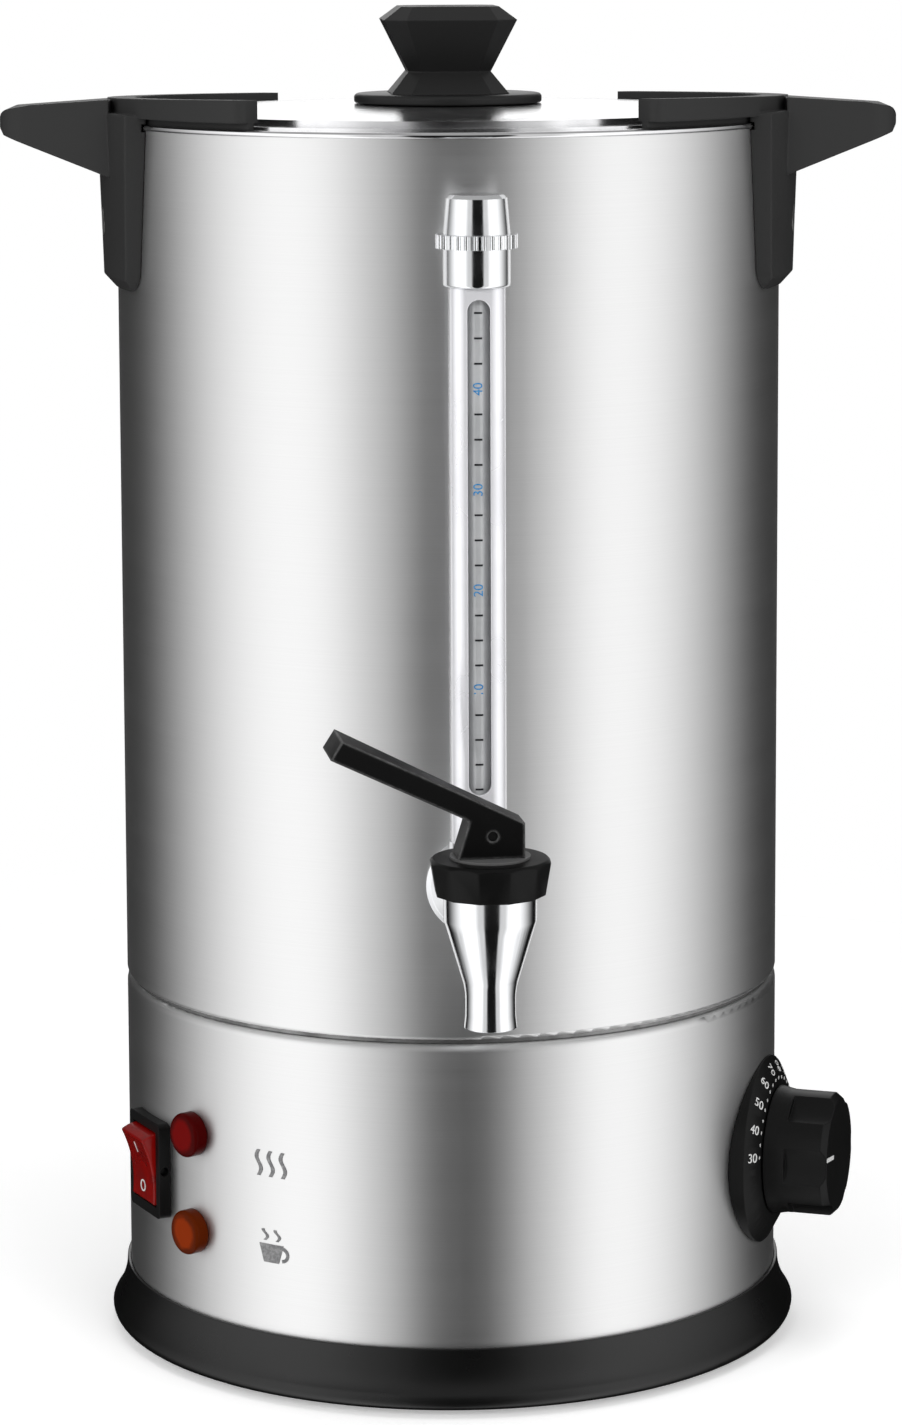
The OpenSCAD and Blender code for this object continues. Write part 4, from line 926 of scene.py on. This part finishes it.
# marks drawn flat go round an upright cylinder
def wrapOn(piece, radius, centre, azimuth):
    for point in piece.data.vertices:
        turn = azimuth + point.co.x / radius
        away = radius + point.co.z
        point.co = (centre[0] + away * math.sin(turn), centre[1] - away * math.cos(turn), point.co.y)


# frame on the body: X across, Y up, Z outwards
def facing(azimuth, away, height, tilt=0):
    return (
        Matrix.Rotation(azimuth, 4, "Z")
        @ Matrix.Translation((0, -away, height))
        @ Matrix.Rotation(math.radians(90 + tilt), 4, "X")
    )


# scale of the gauge, printed on its tube

gaugeSet = {
    "axis": -0.127,
    "tubeRadius": 0.0048,
    "first": 0.212,
    "step": 0.008,
    "count": 20,
    "perNumber": 4,  # ticks from one number to the next
    "cups": 10,  # from one number to the next
    "tick": (0.0025, 0.0006),
    "numberSize": 0.0042,
}


def makeGaugeScale(g):
    ticks, numbers = [], []
    for i in range(g["count"]):
        height = g["first"] + i * g["step"]
        if i % g["perNumber"] == 0 and i > 0:
            cups = g["cups"] * i // g["perNumber"]
            numbers.append(drawText(str(cups), g["numberSize"], (0, height), 90))
        else:
            ticks.append(drawBar(*g["tick"], (0, height)))
    for name, marks, finish in (("gaugeTicks", ticks, "printBlack"), ("gaugeNumbers", numbers, "printBlue")):
        piece = joinMarks(name, marks, markSet)
        wrapOn(piece, g["tubeRadius"], (0, g["axis"]), 0)
        dress(piece, finish, "urn")


makeGaugeScale(gaugeSet)
print("gauge scale printed")


# scale of the dial and the pointer of its knob

dialSet = {
    "azimuth": math.radians(68),
    "height": 0.067,
    "face": 0.1172,
    "front": 0.1392,
    "start": 172,  # degrees, seen from outside, of the first number
    "step": -19.5,
    "count": 9,
    "numbers": (30, 10),  # first number and step
    "slope": 28.07,  # degrees that the plate's rim falls outwards
    "slopeRadius": 0.0255,
    "numberRadius": 0.0283,
    "numberWidth": (0.0042, 0.0054),  # of two and of three digits
    "numberTall": 0.0031,
    "numberSize": 0.0044,
    "dotRadius": 0.0246,
    "dot": 0.0006,
    "pointer": (0.0014, 0.010),
    "pointerAt": 0.0135,
}


def onCircle(radius, degrees):
    turn = math.radians(degrees)
    return radius * math.cos(turn), radius * math.sin(turn)


# a number that reads along the radius, laid on the sloping rim
def drawDialNumber(number, turn, d):
    mark = drawText(number, d["numberSize"])
    corners = [point.co for point in mark.data.vertices]
    wide = max(c.x for c in corners) - min(c.x for c in corners)
    tall = max(c.y for c in corners) - min(c.y for c in corners)
    fit = Matrix.Diagonal((d["numberWidth"][len(number) - 2] / wide, d["numberTall"] / tall, 1, 1))
    lean = math.radians(d["slope"])
    deep = (d["numberRadius"] - d["slopeRadius"]) * math.tan(lean)
    mark.data.transform(
        Matrix.Rotation(math.radians(turn), 4, "Z")
        @ Matrix.Translation((d["numberRadius"], 0, -deep))
        @ Matrix.Rotation(lean, 4, "Y")
        @ Matrix.Rotation(math.pi if turn > 90 else 0, 4, "Z")
        @ fit
    )
    return mark


def makeDialScale(d):
    marks = []
    first, step = d["numbers"]
    for i in range(d["count"]):
        turn = d["start"] + i * d["step"]
        marks.append(drawDialNumber(str(first + step * i), turn, d))
        for half in (0, 0.5):
            marks.append(drawDot(d["dot"], onCircle(d["dotRadius"], turn + half * d["step"])))
    piece = joinMarks("dialScale", marks, markSet)
    piece.data.transform(facing(d["azimuth"], d["face"], d["height"]))
    dress(piece, "printWhite", "urn")


def makePointer(d):
    width, length = d["pointer"]
    mark = drawBar(length, width, onCircle(d["pointerAt"], d["start"]), d["start"], 1)
    piece = joinMarks("dialPointer", [mark], markSet)
    piece.data.transform(facing(d["azimuth"], d["front"], d["height"]))
    dress(piece, "printWhite", "dial_knob")


makeDialScale(dialSet)
makePointer(dialSet)
print("dial marked")


# switch: the rocker, and the plain marks of its two positions

switchSet = {
    "azimuth": math.radians(-68),
    "height": 0.067,
    "axis": 0.1144,
    "tilt": 10,
    "dishCentre": 0.0432,
    "dishRadius": 0.04,
    "proud": 0.00004,  # keeps the marks clear of the dish's facets
    "rows": 24,
    "faceHalf": 0.0116,
    "radius": 0.0126,
    "layers": (0.0022, 0, -0.002, -0.004),  # depths of the loops behind the dish
    "wide": 0.019,
    "draw": -0.001,  # first move of a loop, before it is set to its depth
    "soft": (0.0007, 4, 40),
    "pin": (0.0015, 0.0218),  # radius and length
    "pinCorners": 32,
    "pinSoft": (0.0003, 2, 40),
    "marks": (("O", -0.0072, 0.0058), ("I", 0.0068, 0.0058)),
}


def dishDepth(s, rise):
    return s["dishCentre"] - math.sqrt(s["dishRadius"] ** 2 - rise ** 2)


def makeSwitchMarks(s):
    pieces = []
    for words, rise, size in s["marks"]:
        lean = math.asin(rise / s["dishRadius"])
        mark = joinMarks("rockerMark", [drawText(words, size)], markSet)
        spot = Matrix.Translation((0, rise, dishDepth(s, rise) + s["proud"]))
        mark.data.transform(spot @ Matrix.Rotation(lean, 4, "X"))
        pieces.append(mark)
    pick(*pieces)
    bpy.ops.object.join()
    piece = bpy.context.object
    piece.name = "rockerMarks"
    piece.data.transform(facing(s["azimuth"], s["axis"], s["height"], s["tilt"]))
    dress(piece, "printWhite", "switch_rocker")


# the dished face is a bent grid
def drawDish(s):
    bpy.ops.object.select_all(action="DESELECT")
    bpy.ops.mesh.primitive_grid_add(x_subdivisions=1, y_subdivisions=s["rows"], size=1)
    piece = bpy.context.object
    piece.name = "switchRocker"
    for point in piece.data.vertices:
        rise = 2 * point.co.y * s["faceHalf"]
        point.co = (point.co.x * s["wide"], rise, dishDepth(s, rise))
    return piece


# the body is drawn back from the dish in loops that follow the rocker's circle
def drawBack(piece, s):
    bpy.ops.object.mode_set(mode="EDIT")
    bpy.ops.mesh.select_all(action="SELECT")
    half = s["faceHalf"]
    for depth in s["layers"]:
        bpy.ops.mesh.extrude_region_move(TRANSFORM_OT_translate={"value": (0, 0, s["draw"])})
        bpy.ops.object.mode_set(mode="OBJECT")
        reach = math.sqrt(s["radius"] ** 2 - depth ** 2)
        for point in piece.data.vertices:
            if point.select:
                point.co = (point.co.x, point.co.y * reach / half, depth)
        half = reach
        bpy.ops.object.mode_set(mode="EDIT")
    bpy.ops.mesh.select_all(action="SELECT")
    bpy.ops.mesh.normals_make_consistent(inside=False)
    bpy.ops.object.mode_set(mode="OBJECT")


def addPin(piece, s):
    bpy.ops.object.select_all(action="DESELECT")
    radius, length = s["pin"]
    bpy.ops.mesh.primitive_cylinder_add(vertices=s["pinCorners"], radius=radius, depth=length)
    pin = bpy.context.object
    pin.data.transform(Matrix.Rotation(math.pi / 2, 4, "Y"))
    softenEdges(pin, *s["pinSoft"])
    pick(piece, pin)
    bpy.ops.object.join()


def makeRocker(s):
    piece = drawDish(s)
    drawBack(piece, s)
    softenEdges(piece, *s["soft"])
    addPin(piece, s)
    piece.data.transform(facing(s["azimuth"], s["axis"], s["height"], s["tilt"]))
    dress(piece, "redRocker", bodyOf["switch_rocker"])
    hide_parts("switch_rocker")


makeRocker(switchSet)
makeSwitchMarks(switchSet)
print("switch shaped and marked")


# signs beside the lamps: rising heat, and a cup kept warm

signSet = {
    "radius": 0.11302,
    "azimuth": math.radians(-36),
    "heatHeight": 0.0795,
    "warmHeight": 0.049,
    "stroke": 0.0014,
    "waveGap": 0.0048,
    "waveTall": 0.0085,
    "waveSwing": 0.0009,
    "cup": (0.0095, 0.0062),
    "cupFoot": 0.62,  # of the cup's width
    "cupCuts": 5,
    "cupStroke": 0.00112,
    "ear": 0.0021,
    "earAt": 0.004275,
    "earTurns": range(80, -81, -16),  # degrees
    "earBar": 0.42,  # length of a piece of the ear, as a share of its radius
    "steamGap": 0.0024,
    "steamFrom": 0.0045,
    "steamTall": 0.0036,
    "steamTurns": 0.8,
    "steamPoints": 8,
}


def wave(s, x, low, tall, turns=1.0, points=14):
    rows = [i / points for i in range(points + 1)]
    return [(x + s["waveSwing"] * math.sin(2 * math.pi * turns * t), low + tall * t) for t in rows]


def drawCup(s):
    bpy.ops.object.select_all(action="DESELECT")
    bpy.ops.mesh.primitive_plane_add(size=1)
    cup = bpy.context.object
    cup.data.transform(Matrix.Diagonal((*s["cup"], 1, 1)))
    for point in cup.data.vertices:
        if point.co.y < 0:
            point.co.x *= s["cupFoot"]
    bpy.ops.object.mode_set(mode="EDIT")
    bpy.ops.mesh.subdivide(number_cuts=s["cupCuts"])
    bpy.ops.object.mode_set(mode="OBJECT")
    return cup


def drawEar(s):
    bars = []
    for degrees in s["earTurns"]:
        x, y = onCircle(s["ear"], degrees)
        bars.append(drawBar(s["ear"] * s["earBar"], s["cupStroke"], (s["earAt"] + x, y), degrees + 90, 1))
    return bars


def makeSigns(s):
    low, tall = -s["waveTall"] / 2, s["waveTall"]
    heat = [drawStroke(wave(s, i * s["waveGap"], low, tall), s["stroke"]) for i in (-1, 0, 1)]
    warm = [drawCup(s), *drawEar(s)]
    for i in (-1, 1):
        steam = wave(s, i * s["steamGap"], s["steamFrom"], s["steamTall"], s["steamTurns"], s["steamPoints"])
        warm.append(drawStroke(steam, s["cupStroke"]))
    for name, marks, height in (("heatSign", heat, s["heatHeight"]), ("warmSign", warm, s["warmHeight"])):
        piece = joinMarks(name, marks, markSet)
        piece.data.transform(Matrix.Translation((0, height, 0)))
        wrapOn(piece, s["radius"], (0, 0), s["azimuth"])
        dress(piece, "printGrey", "urn")


makeSigns(signSet)
print("lamp signs printed")
